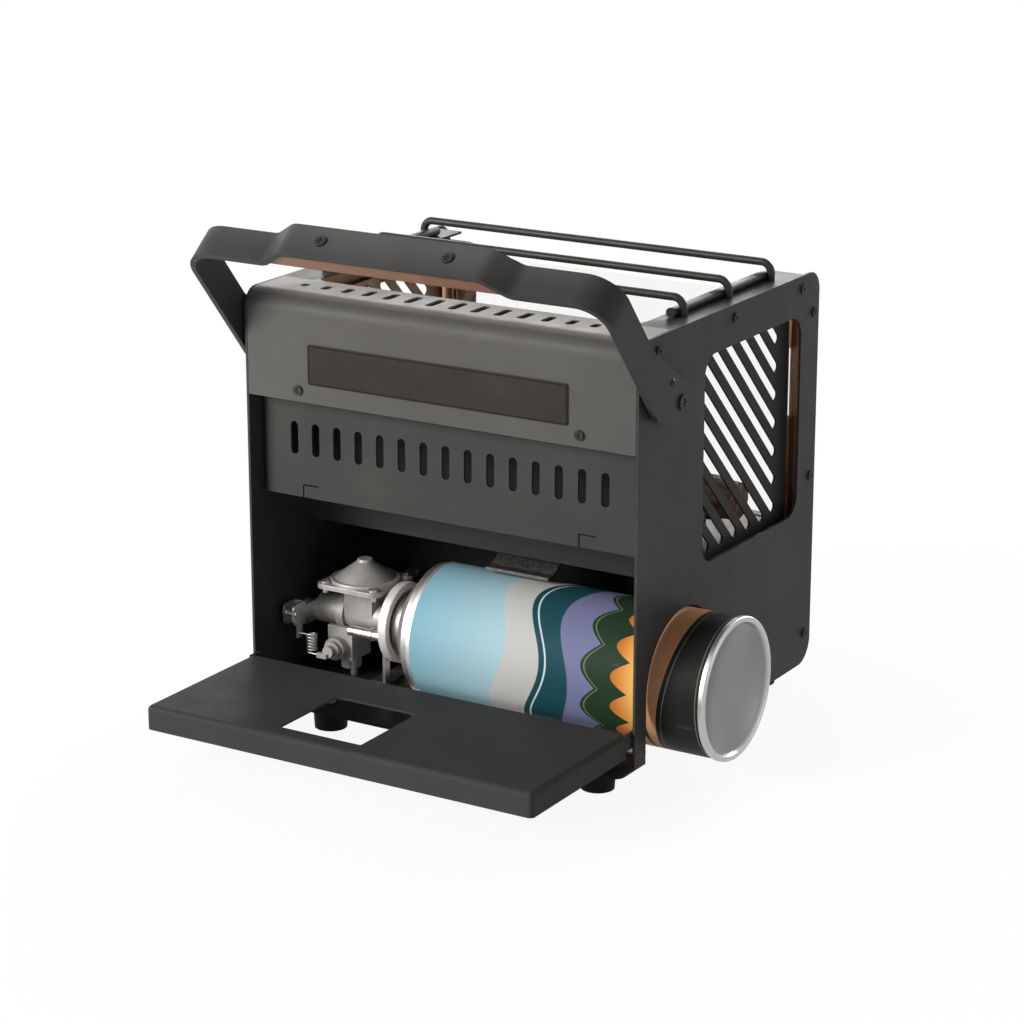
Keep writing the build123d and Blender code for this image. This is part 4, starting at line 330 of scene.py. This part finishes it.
def firelit_steel(name):
    """Spring steel of the glass clips, painted bronze as the flame's light, lighter towards the top."""
    tint_heights = (0.1, 0.21)
    # Painted firelight: bronze colours, lighter higher up, stand in for the flame's light on the clips.
    tints = [(0.0, (0.16, 0.10, 0.07)), (0.5, (0.24, 0.14, 0.09)), (1.0, (0.36, 0.20, 0.12))]
    worn_edge = (0.52, 0.42, 0.33)

    p = Paint(name)
    wander = p.math("MULTIPLY", p.noise(scale=40.0), 0.03)
    colour = p.ramp(p.span(p.math("ADD", p.axes()["Z"], wander), tint_heights), tints)
    grain = p.noise(scale=1100.0, rough=0.6, spot=p.stretched(1.0, 1.0, 0.08))
    p.surface(
        Base_Color=p.mix(p.worn(amount=0.6, radius=0.0005), colour, worn_edge),
        Metallic=0.8,
        Roughness=p.span(grain, NOISE_BODY, (0.34, 0.5)),
        Normal=p.bump(grain, strength=0.08, depth=0.0003),
    )
    return p.material


def pane(name):
    """Heat-proof glass: clear faces with a faint bloom, pale ground edges."""
    clear, bloomed, edge = (0.97, 0.98, 0.97), (0.93, 0.92, 0.89), (0.95, 0.87, 0.77)

    p = Paint(name)
    face = p.math("ABSOLUTE", p.facing("True Normal")["Y"])
    ground = p.span(face, (0.2, 0.6), FADE_OUT)
    bloom = p.span(p.noise(scale=22.0, detail=5.0, rough=0.6), (0.55, 0.8))
    faces = p.mix(p.math("MULTIPLY", bloom, 0.4), clear, bloomed)
    grit = p.math("MULTIPLY", p.noise(scale=600.0), ground)
    p.surface(
        Base_Color=p.mix(ground, faces, edge),
        Roughness=p.math("MULTIPLY", ground, 0.22),
        Transmission_Weight=p.span(ground, (0.0, 1.0), (1.0, 0.4)),
        IOR=1.46,
        Normal=p.bump(grit, strength=0.3, depth=0.0005),
    )
    return p.material


def bark(name, axis):
    """Fired ceramic shaped as a log: furrowed bark along the axis, pale ridges, scorched flanks."""
    furrow_colours = [
        (0.25, (0.040, 0.027, 0.019)),
        (0.45, (0.14, 0.095, 0.062)),
        (0.6, (0.26, 0.19, 0.13)),
        (0.8, (0.42, 0.34, 0.26)),
    ]
    scorch_black = (0.035, 0.026, 0.022)
    along = {"X": (0.16, 1.0, 1.0), "Y": (1.0, 0.16, 1.0)}[axis]

    p = Paint(name)
    furrow = p.noise(scale=150.0, detail=5.0, rough=0.62, spot=p.stretched(*along), warp=0.5)
    scorch = p.span(p.noise(scale=38.0, detail=4.0, rough=0.6), (0.5, 0.7), (0.0, 0.6))
    grit = p.noise(scale=1300.0, detail=2.0)
    furrowed = p.bump(furrow, strength=0.5, depth=0.0012)
    p.surface(
        Base_Color=p.mix(scorch, p.ramp(furrow, furrow_colours), scorch_black),
        Roughness=p.span(grit, NOISE_BODY, (0.78, 0.95)),
        Normal=p.bump(grit, strength=0.25, depth=0.0005, under=furrowed),
    )
    return p.material


def iron(name):
    """Cast iron with a scaled, slightly rusty skin."""
    dark, light, rusty = (0.020, 0.018, 0.017), (0.06, 0.055, 0.05), (0.12, 0.055, 0.028)

    p = Paint(name)
    skin = p.noise(scale=520.0, detail=4.0, rough=0.65)
    rust = p.span(p.noise(scale=90.0, detail=4.0, rough=0.6), (0.55, 0.72), (0.0, 0.55))
    colour = p.mix(p.span(skin, (0.35, 0.7)), dark, light)
    p.surface(
        Base_Color=p.mix(rust, colour, rusty),
        Metallic=0.25,
        Roughness=p.span(skin, NOISE_BODY, (0.55, 0.8)),
        Normal=p.bump(skin, strength=0.4, depth=0.0006),
    )
    return p.material


def moulded(name, dark, light, rough, grain, gloss):
    """Moulded plastic or rubber: spark-eroded grain, scuffs and dust."""
    p = Paint(name)
    skin = p.noise(scale=grain, detail=2.0, rough=0.6)
    dust = p.span(p.noise(scale=85.0, detail=5.0, rough=0.65), (0.5, 0.78), (0.0, 0.5))
    dusty = tuple(1.3 * value + 0.006 for value in light)
    colour = p.mix(p.span(skin, (0.35, 0.7)), dark, light)
    p.surface(
        Base_Color=p.mix(dust, colour, dusty),
        Specular_IOR_Level=gloss,
        Roughness=p.span(p.math("ADD", skin, dust), (0.3, 1.1), (rough - 0.07, rough + 0.1)),
        Normal=p.bump(skin, strength=0.2, depth=0.0004),
    )
    return p.material


def glazed(name):
    """White glazed ceramic with a grey firing bloom."""
    white, grey = (0.84, 0.82, 0.77), (0.60, 0.55, 0.48)

    p = Paint(name)
    bloom = p.span(p.noise(scale=120.0, detail=4.0), (0.4, 0.75))
    p.surface(
        Base_Color=p.mix(bloom, white, grey),
        Roughness=p.span(p.noise(scale=300.0), NOISE_BODY, (0.12, 0.3)),
        Normal=p.bump(p.noise(scale=420.0, detail=2.0), strength=0.06, depth=0.0003),
    )
    return p.material


def brass(name):
    """Turned brass with lathe lines and tarnish."""
    bright, brown = (0.70, 0.50, 0.22), (0.34, 0.21, 0.09)

    p = Paint(name)
    lines = p.noise(scale=2200.0, detail=2.0, rough=0.5, spot=p.stretched(1.0, 0.05, 0.05))
    tarnish = p.span(p.noise(scale=160.0, detail=4.0), (0.45, 0.75), (0.0, 0.6))
    p.surface(
        Base_Color=p.mix(tarnish, bright, brown),
        Metallic=1.0,
        Roughness=p.span(lines, NOISE_BODY, (0.2, 0.36)),
        Normal=p.bump(lines, strength=0.1, depth=0.0003),
    )
    return p.material


def bare_label(name, low, high):
    """Blank matt plate with a fine border line pressed in near its edge."""
    line_starts, line_ends = (0.0003, 0.0005), (0.0009, 0.0011)
    dark, light = (0.020, 0.018, 0.016), (0.030, 0.027, 0.024)
    line_black, scratch_grey = (0.008, 0.007, 0.006), (0.060, 0.056, 0.052)

    p = Paint(name)
    axes = p.axes()
    middle = middle_of(low, high)

    def from_edge(axis, index):
        half = (high[index] - low[index]) / 2
        return p.math("SUBTRACT", half, p.math("ABSOLUTE", p.math("SUBTRACT", axes[axis], middle[index])))

    inset = p.math("MINIMUM", from_edge("X", 0), from_edge("Z", 2))
    line = p.math("MULTIPLY", p.span(inset, line_starts), p.span(inset, line_ends, FADE_OUT))
    ground = p.mix(p.span(p.noise(scale=30.0, detail=4.0), NOISE_BODY), dark, light)
    drawn_out = p.stretched(0.12, 1.0, 1.0)
    scratch = p.span(p.noise(scale=420.0, detail=4.0, rough=0.7, spot=drawn_out), (0.62, 0.72), (0.0, 0.35))
    grain = p.noise(scale=1900.0, detail=2.0)
    p.surface(
        Base_Color=p.mix(scratch, p.mix(line, ground, line_black), scratch_grey),
        Roughness=p.span(grain, NOISE_BODY, (0.5, 0.66)),
        Specular_IOR_Level=0.1,
        Normal=p.bump(grain, strength=0.1, depth=0.0003, under=p.bump(line, strength=0.3, depth=0.0002)),
    )
    return p.material


def printed_can(name, low, high):
    """Printed tinplate: plain waves and scallops in cool and warm colours, then tan and black end bands."""
    soft_edge = 0.00012
    sky_reach, ember_reach = (0.0, 0.05), (0.106, 0.130)
    neck_end, seam_start, tan_start, last_line, rim_start = 0.002, 0.1255, 0.1275, 0.1535, 0.1567
    sky = [(0.0, (0.19, 0.38, 0.47)), (1.0, (0.34, 0.51, 0.57))]
    embers = [
        (0.0, (0.30, 0.07, 0.02)),
        (0.35, (0.62, 0.22, 0.04)),
        (0.7, (0.80, 0.46, 0.12)),
        (1.0, (0.24, 0.06, 0.02)),
    ]
    mist, teal, teal_line = (0.47, 0.475, 0.47), (0.012, 0.060, 0.078), (0.55, 0.66, 0.68)
    lavender, pine, pine_line = (0.16, 0.17, 0.30), (0.018, 0.040, 0.022), (0.14, 0.19, 0.08)
    seam, tan = (0.020, 0.018, 0.016), (0.48, 0.245, 0.130)
    black, band_line = (0.014, 0.015, 0.013), (0.13, 0.125, 0.115)
    tin, scuffed, ink_dots = (0.62, 0.62, 0.61), (0.30, 0.30, 0.29), (0.05, 0.05, 0.05)

    p = Paint(name)
    axes = p.axes()
    middle = middle_of(low, high)
    from_y = p.math("SUBTRACT", middle[1], axes["Y"])
    from_z = p.math("SUBTRACT", axes["Z"], middle[2])
    around = p.math("ARCTAN2", from_z, from_y)
    along = p.math("SUBTRACT", axes["X"], low[0])

    def past(border):
        return p.span(border, (-soft_edge, soft_edge))

    def strip(border, start, width):
        inner = p.math("SUBTRACT", border, start)
        return p.math("MULTIPLY", past(inner), past(p.math("SUBTRACT", width, inner)))

    def beyond(place):
        return p.math("SUBTRACT", along, place)

    def wave(turns, shift, reach, place):
        swing = p.math("SINE", p.math("ADD", p.math("MULTIPLY", around, turns), shift))
        return p.math("SUBTRACT", along, p.math("ADD", p.math("MULTIPLY", swing, reach), place))

    def arches(count, reach, place):
        swing = p.math("ABSOLUTE", p.math("SINE", p.math("MULTIPLY", around, count)))
        return p.math("SUBTRACT", along, p.math("SUBTRACT", place, p.math("MULTIPLY", swing, reach)))

    colour = p.ramp(p.span(along, sky_reach), sky)
    colour = p.mix(past(wave(turns=3.0, shift=0.6, reach=0.0055, place=0.048)), colour, mist)
    hill = wave(turns=3.0, shift=1.1, reach=0.0065, place=0.066)
    colour = p.mix(past(hill), colour, teal)
    colour = p.mix(strip(hill, start=0.003, width=0.0009), colour, teal_line)
    colour = p.mix(past(wave(turns=3.0, shift=1.7, reach=0.005, place=0.083)), colour, lavender)
    scallop = arches(count=5.0, reach=0.008, place=0.102)
    colour = p.mix(past(scallop), colour, pine)
    colour = p.mix(strip(scallop, start=0.0016, width=0.0007), colour, pine_line)
    glow = p.ramp(p.span(along, ember_reach), embers)
    colour = p.mix(past(arches(count=7.0, reach=0.009, place=0.119)), colour, glow)
    colour = p.mix(past(beyond(seam_start)), colour, seam)
    colour = p.mix(past(beyond(tan_start)), colour, tan)
    end_band = wave(turns=1.0, shift=0.0, reach=0.0055, place=0.1350)
    colour = p.mix(past(end_band), colour, black)
    colour = p.mix(strip(end_band, start=0.0022, width=0.0005), colour, band_line)
    colour = p.mix(strip(along, start=last_line, width=0.0005), colour, band_line)
    metal = p.math("MAXIMUM", past(beyond(rim_start)), past(p.math("SUBTRACT", neck_end, along)))
    colour = p.mix(metal, colour, tin)
    rubbed = p.noise(scale=210.0, detail=5.0, rough=0.7, spot=p.stretched(0.25, 1.0, 1.0))
    scuff = p.span(rubbed, (0.64, 0.76), (0.0, 0.2))
    colour = p.mix(scuff, colour, scuffed)
    ink = p.noise(scale=3200.0, detail=2.0)
    dents = p.noise(scale=45.0, rough=0.5, spot=p.stretched(0.4, 1.0, 1.0))
    p.surface(
        Base_Color=p.mix(p.span(ink, (0.5, 0.8), (0.0, 0.12)), colour, ink_dots),
        Metallic=p.math("MULTIPLY", metal, 0.9),
        Roughness=p.span(p.math("ADD", ink, scuff), (0.3, 1.0), (0.46, 0.62)),
        Specular_IOR_Level=0.05,
        Normal=p.bump(dents, strength=0.05, depth=0.001),
    )
    return p.material


# Materials on the CAD nodes

COAT_DARK, COAT_LIGHT = (0.038, 0.0375, 0.037), (0.048, 0.0475, 0.047)
# Painted light: the top rear cover gets a lighter copy of the same black powder coat, for the light on its
# rear face.
COVER_LIT_DARK, COVER_LIT_LIGHT = (0.072, 0.070, 0.068), (0.086, 0.084, 0.081)
HANDLE_DARK, HANDLE_LIGHT = (0.036, 0.0355, 0.035), (0.046, 0.0455, 0.045)
# Painted sheen: the deck on top of the cover turns lighter above these heights, in place of the backdrop's
# reflection at a low angle.
DECK_SHEEN_PAINT = ((0.2055, 0.2073), (0.26, 0.232, 0.208))
# Painted highlight: the top of the handle strip turns lighter above these heights.
HANDLE_TOP_HIGHLIGHT = ((0.236, 0.2475), (0.088, 0.086, 0.083))
# Painted firelight on the folds of the side panels behind the glass: the range of y, then the brown.
FOLD_FIRELIGHT = ((0.124, 0.126), (0.26, 0.13, 0.07))
ALONG_X = (0.06, 1.0, 1.0)
PLASTIC_BLACK = (0.016, 0.016, 0.016), (0.026, 0.025, 0.025)
PLASTIC_WHITE = (0.70, 0.69, 0.66), (0.82, 0.81, 0.78)
RUBBER_BLACK = (0.007, 0.007, 0.007), (0.012, 0.012, 0.012)
# The grip liner is brown, and made more coppery as painted firelight on the handle's underside.
GRIP_BROWN_AND_GLOW = (0.140, 0.066, 0.037), (0.205, 0.098, 0.055)

can_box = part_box("cartridge_body")
finish = {
    coat("powder_coat", COAT_DARK, COAT_LIGHT, rough=0.42, gloss=0.06): [
        "front_fascia", "pivot_washers", "door_pins",
    ],
    coat("panel_coat", COAT_DARK, COAT_LIGHT, rough=0.42, gloss=0.06, firelit=FOLD_FIRELIGHT): [
        "left_side_panel", "right_side_panel",
    ],
    coat("door_coat", COAT_DARK, COAT_LIGHT, rough=0.5, gloss=0.03): ["door"],
    coat("lit_cover_coat", COVER_LIT_DARK, COVER_LIT_LIGHT, rough=0.42, gloss=0.08, lit_top=DECK_SHEEN_PAINT): [
        "top_rear_cover",
    ],
    coat("handle_coat", HANDLE_DARK, HANDLE_LIGHT, rough=0.4, gloss=0.07, lit_top=HANDLE_TOP_HIGHLIGHT): [
        "handle_strip",
    ],
    coat("rear_coat", (0.040, 0.039, 0.038), (0.052, 0.051, 0.049), rough=0.42, gloss=0.06): [
        "slotted_rear_panel",
    ],
    # Painted shade: the divider wall and base pan in the bay under the door get a darker copy of the powder
    # coat.
    coat("shaded_bay_coat", (0.010, 0.010, 0.010), (0.016, 0.016, 0.016), rough=0.5, gloss=0.05): [
        "divider_wall", "base_pan",
    ],
    coat("wire_enamel", (0.026, 0.024, 0.022), (0.036, 0.033, 0.030), rough=0.38, gloss=0.2): ["pot_rack"],
    coat("screw_black", (0.030, 0.0295, 0.029), (0.042, 0.041, 0.040), rough=0.4, gloss=0.08): [
        "side_screws", "cover_screws", "grip_screws", "pivot_bolts",
    ],
    guard("firelit_guard"): ["left_slat_guard", "right_slat_guard"],
    plated("zinc_plate", (0.50, 0.49, 0.475), (0.70, 0.69, 0.67), rough=0.34, grain=240.0): [
        "foot_screws", "pivot_nuts", "cover_spacers", "gas_pipe", "lever_pin", "lever_spring",
        "diaphragm_screws", "pilot_pipe", "valve_post", "lever_bracket", "valve_spindle", "regulator_stand",
    ],
    plated("rolled_steel", (0.27, 0.27, 0.265), (0.40, 0.40, 0.395), rough=0.42, grain=700.0, tilt=ALONG_X): [
        "cartridge_rails", "burner_tube", "burner_stands",
    ],
    plated("dull_plate", (0.10, 0.098, 0.096), (0.17, 0.167, 0.163), rough=0.5, grain=500.0): [
        "heat_transfer_plate",
    ],
    plated("lacquered_tin", (0.36, 0.345, 0.33), (0.46, 0.445, 0.43), rough=0.46, grain=180.0): [
        "cartridge_shoulder",
    ],
    spun("tinplate_end", *can_box): ["cartridge_bottom"],
    printed_can("printed_tinplate", *can_box): ["cartridge_body"],
    casting("dome_casting", (0.40, 0.39, 0.375), (0.50, 0.485, 0.47), rough=0.3): ["diaphragm_dome"],
    casting("bright_casting", (0.66, 0.64, 0.615), (0.78, 0.76, 0.735), rough=0.4): ["regulator_flange"],
    casting("grey_casting", (0.30, 0.29, 0.28), (0.42, 0.41, 0.395), rough=0.44): [
        "regulator_body", "diaphragm_plate", "lower_valve",
    ],
    liner("heat_and_firelight_liner"): ["firebox_shell"],
    firelit_steel("firelit_clip"): ["glass_clips"],
    pane("fire_glass"): ["front_glass"],
    iron("grate_iron"): ["log_grate"],
    glazed("electrode_glaze"): ["ignition_electrode"],
    brass("turned_brass"): ["injector"],
    moulded("black_moulding", *PLASTIC_BLACK, rough=0.44, grain=1400.0, gloss=0.3): [
        "control_knob", "piezo_igniter",
    ],
    moulded("foot_rubber", *RUBBER_BLACK, rough=0.7, grain=900.0, gloss=0.1): ["feet"],
    moulded("brown_and_firelit_grip", *GRIP_BROWN_AND_GLOW, rough=0.42, grain=1200.0, gloss=0.4): ["grip_liner"],
    moulded("white_moulding", *PLASTIC_WHITE, rough=0.42, grain=1500.0, gloss=0.4): ["cartridge_valve"],
    bare_label("blank_plate", *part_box("bare_plate")): ["bare_plate"],
}
for material, names in finish.items():
    for name in names:
        nodes[name].data.materials.clear()
        nodes[name].data.materials.append(material)

# Ceramic logs

SKIN_VOXEL = 0.0009
LONG_GRAIN = 0.18
FURROW_SCALE, FURROW_SHARPNESS, FURROW_DEPTH = 190.0, 3.0, 0.0011
CRACK_SCALE, CRACK_SHARPNESS, CRACK_DEPTH = 420.0, 3.5, 0.0004
LUMP_SCALE, LUMP_DEPTH = 45.0, 0.0007
SKIN_DEPTH = 0.0004


def even_skin(piece):
    """The piece's mesh, made again with even faces that are small enough for the bark."""
    remesh = piece.modifiers.new("even_skin", "REMESH")
    remesh.mode = "VOXEL"
    remesh.voxel_size = SKIN_VOXEL
    bpy.context.view_layer.update()
    ready = piece.evaluated_get(bpy.context.evaluated_depsgraph_get())
    even = bpy.data.meshes.new_from_object(ready)
    piece.modifiers.clear()
    return even


def groove(place, sharpness, depth):
    """Depth of a furrow that is deepest where the noise at this place crosses zero."""
    return depth * (1.0 - min(1.0, sharpness * abs(noise.noise(place))))


def shaped_log(node, axis, seed):
    """The log's form with furrowed bark and lumps cut into it, kept inside the CAD log."""
    piece = bpy.data.objects.new(node + "_bark", nodes[node].data.copy())
    bpy.context.scene.collection.objects.link(piece)
    skin = even_skin(piece)
    skin.name = node + "_bark"
    piece.data = skin
    normals = [v.normal.copy() for v in skin.vertices]
    shift = Vector((seed, 2.0 * seed, 3.0 * seed))
    for v, normal in zip(skin.vertices, normals):
        grain = Vector(v.co)
        grain[axis] *= LONG_GRAIN
        flank = 1.0 - abs(normal[axis])
        furrow = groove(grain * FURROW_SCALE + shift, FURROW_SHARPNESS, FURROW_DEPTH)
        crack = groove(grain * CRACK_SCALE - shift, CRACK_SHARPNESS, CRACK_DEPTH)
        lump = 0.5 + 0.5 * noise.noise(v.co * LUMP_SCALE + shift)
        v.co -= normal * (flank * (furrow + crack) + LUMP_DEPTH * lump + SKIN_DEPTH)
    skin.shade_smooth()
    skin.materials.clear()
    skin.materials.append(bark("bark_" + node.removesuffix("_log"), "XYZ"[axis]))
    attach(piece, "chassis")
    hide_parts(node)


shaped_log("rear_log", axis=0, seed=3.1)
shaped_log("front_log", axis=0, seed=7.7)
shaped_log("cross_log", axis=1, seed=5.3)

# Floor, world, lamps

FLOOR_HALF = 9.0
FLOOR_COLOUR = (0.86, 0.86, 0.855, 1.0)
FLOOR_FADE = (0.16, 0.55)
FLOOR_GLOW = (0.92, 1.0)
SKY_ON_OBJECT = 0.25
SKY_IN_VIEW = 1.0


def seen_straight(tree):
    """1 for camera, glossy and transmission rays."""
    path = tree.nodes.new("ShaderNodeLightPath")
    total = path.outputs["Is Camera Ray"]
    for name in ("Is Glossy Ray", "Is Transmission Ray"):
        added = tree.nodes.new("ShaderNodeMath")
        added.operation = "MAXIMUM"
        tree.links.new(total, added.inputs[0])
        tree.links.new(path.outputs[name], added.inputs[1])
        total = added.outputs[0]
    return total


def pale_floor():
    """Pale matt floor that is nearly white in view and fades to full white away from the part."""
    p = Paint("pale_floor")
    p.surface(Base_Color=FLOOR_COLOUR, Roughness=0.9, Specular_IOR_Level=0.1)
    glow = p.node("Emission", {"Color": (*WHITE, 1.0), "Strength": 1.0}).outputs[0]
    away = p.node("VectorMath", {0: p.spot}, operation="LENGTH").outputs["Value"]
    share = p.math("MULTIPLY", seen_straight(p.tree), p.span(away, FLOOR_FADE, FLOOR_GLOW))
    both = p.node("MixShader", {0: share, 1: p.bsdf.outputs[0], 2: glow}).outputs[0]
    p.put(p.tree.nodes["Material Output"].inputs["Surface"], both)
    return p.material


floor_mesh = bpy.data.meshes.new("floor")
corners = [(x * FLOOR_HALF, y * FLOOR_HALF, 0.0) for x, y in ((-1, -1), (1, -1), (1, 1), (-1, 1))]
floor_mesh.from_pydata(corners, [], [(0, 1, 2, 3)])
floor_mesh.materials.append(pale_floor())
floor = bpy.data.objects.new("floor", floor_mesh)
bpy.context.scene.collection.objects.link(floor)

world = bpy.data.worlds.new("studio")
bpy.context.scene.world = world
world.use_nodes = True
sky_tree = world.node_tree
backdrop = sky_tree.nodes["Background"]
soft = sky_tree.nodes.new("ShaderNodeMapRange")
sky_tree.links.new(seen_straight(sky_tree), soft.inputs["Value"])
soft.inputs["To Min"].default_value = SKY_ON_OBJECT
soft.inputs["To Max"].default_value = SKY_IN_VIEW
sky_tree.links.new(soft.outputs[0], backdrop.inputs["Strength"])
backdrop.inputs["Color"].default_value = (*WHITE, 1.0)


def lamp(name, place, target, size, power, colour=WHITE):
    """Round area lamp that looks at the target."""
    data = bpy.data.lights.new(name, "AREA")
    data.shape = "DISK"
    data.size = size
    data.energy = power
    data.color = colour
    piece = bpy.data.objects.new(name, data)
    piece.location = place
    piece.rotation_euler = (Vector(target) - Vector(place)).to_track_quat("-Z", "Y").to_euler()
    bpy.context.scene.collection.objects.link(piece)


WARM = (1.0, 0.975, 0.945)
lamp("key_lamp", place=(-1.05, -1.45, 0.75), target=(0.0, 0.0, 0.12), size=1.0, power=48.0, colour=WARM)
lamp("front_lamp", place=(0.1, 1.85, 0.75), target=(0.0, 0.05, 0.13), size=1.0, power=26.0)
lamp("back_lamp", place=(-0.8, 1.65, 0.85), target=(0.0, 0.05, 0.15), size=1.0, power=14.0)
lamp("side_lamp", place=(1.8, 0.3, 0.5), target=(0.05, 0.05, 0.12), size=0.9, power=3.0)

# Camera at the photograph's angle

AZIMUTH, ELEVATION = math.radians(31.41), math.radians(16.875)
CAMERA_PLACE = (0.7290, -1.1794, 0.5249)
SENSOR_MM, LENS_MM = 36.0, 108.865
CLIP_NEAR, CLIP_FAR = 0.05, 40.0

level = math.cos(ELEVATION)
back = Vector((math.sin(AZIMUTH) * level, -math.cos(AZIMUTH) * level, math.sin(ELEVATION)))
right = Vector((math.cos(AZIMUTH), math.sin(AZIMUTH), 0.0))
up = back.cross(right)
turn = Matrix((right, up, back)).transposed().to_4x4()
lens = bpy.data.cameras.new("photo_camera")
lens.sensor_width = SENSOR_MM
lens.lens = LENS_MM
lens.clip_start, lens.clip_end = CLIP_NEAR, CLIP_FAR
camera = bpy.data.objects.new("photo_camera", lens)
camera.matrix_world = Matrix.Translation(CAMERA_PLACE) @ turn
bpy.context.scene.collection.objects.link(camera)
bpy.context.scene.camera = camera
bpy.context.scene.view_settings.view_transform = "Standard"
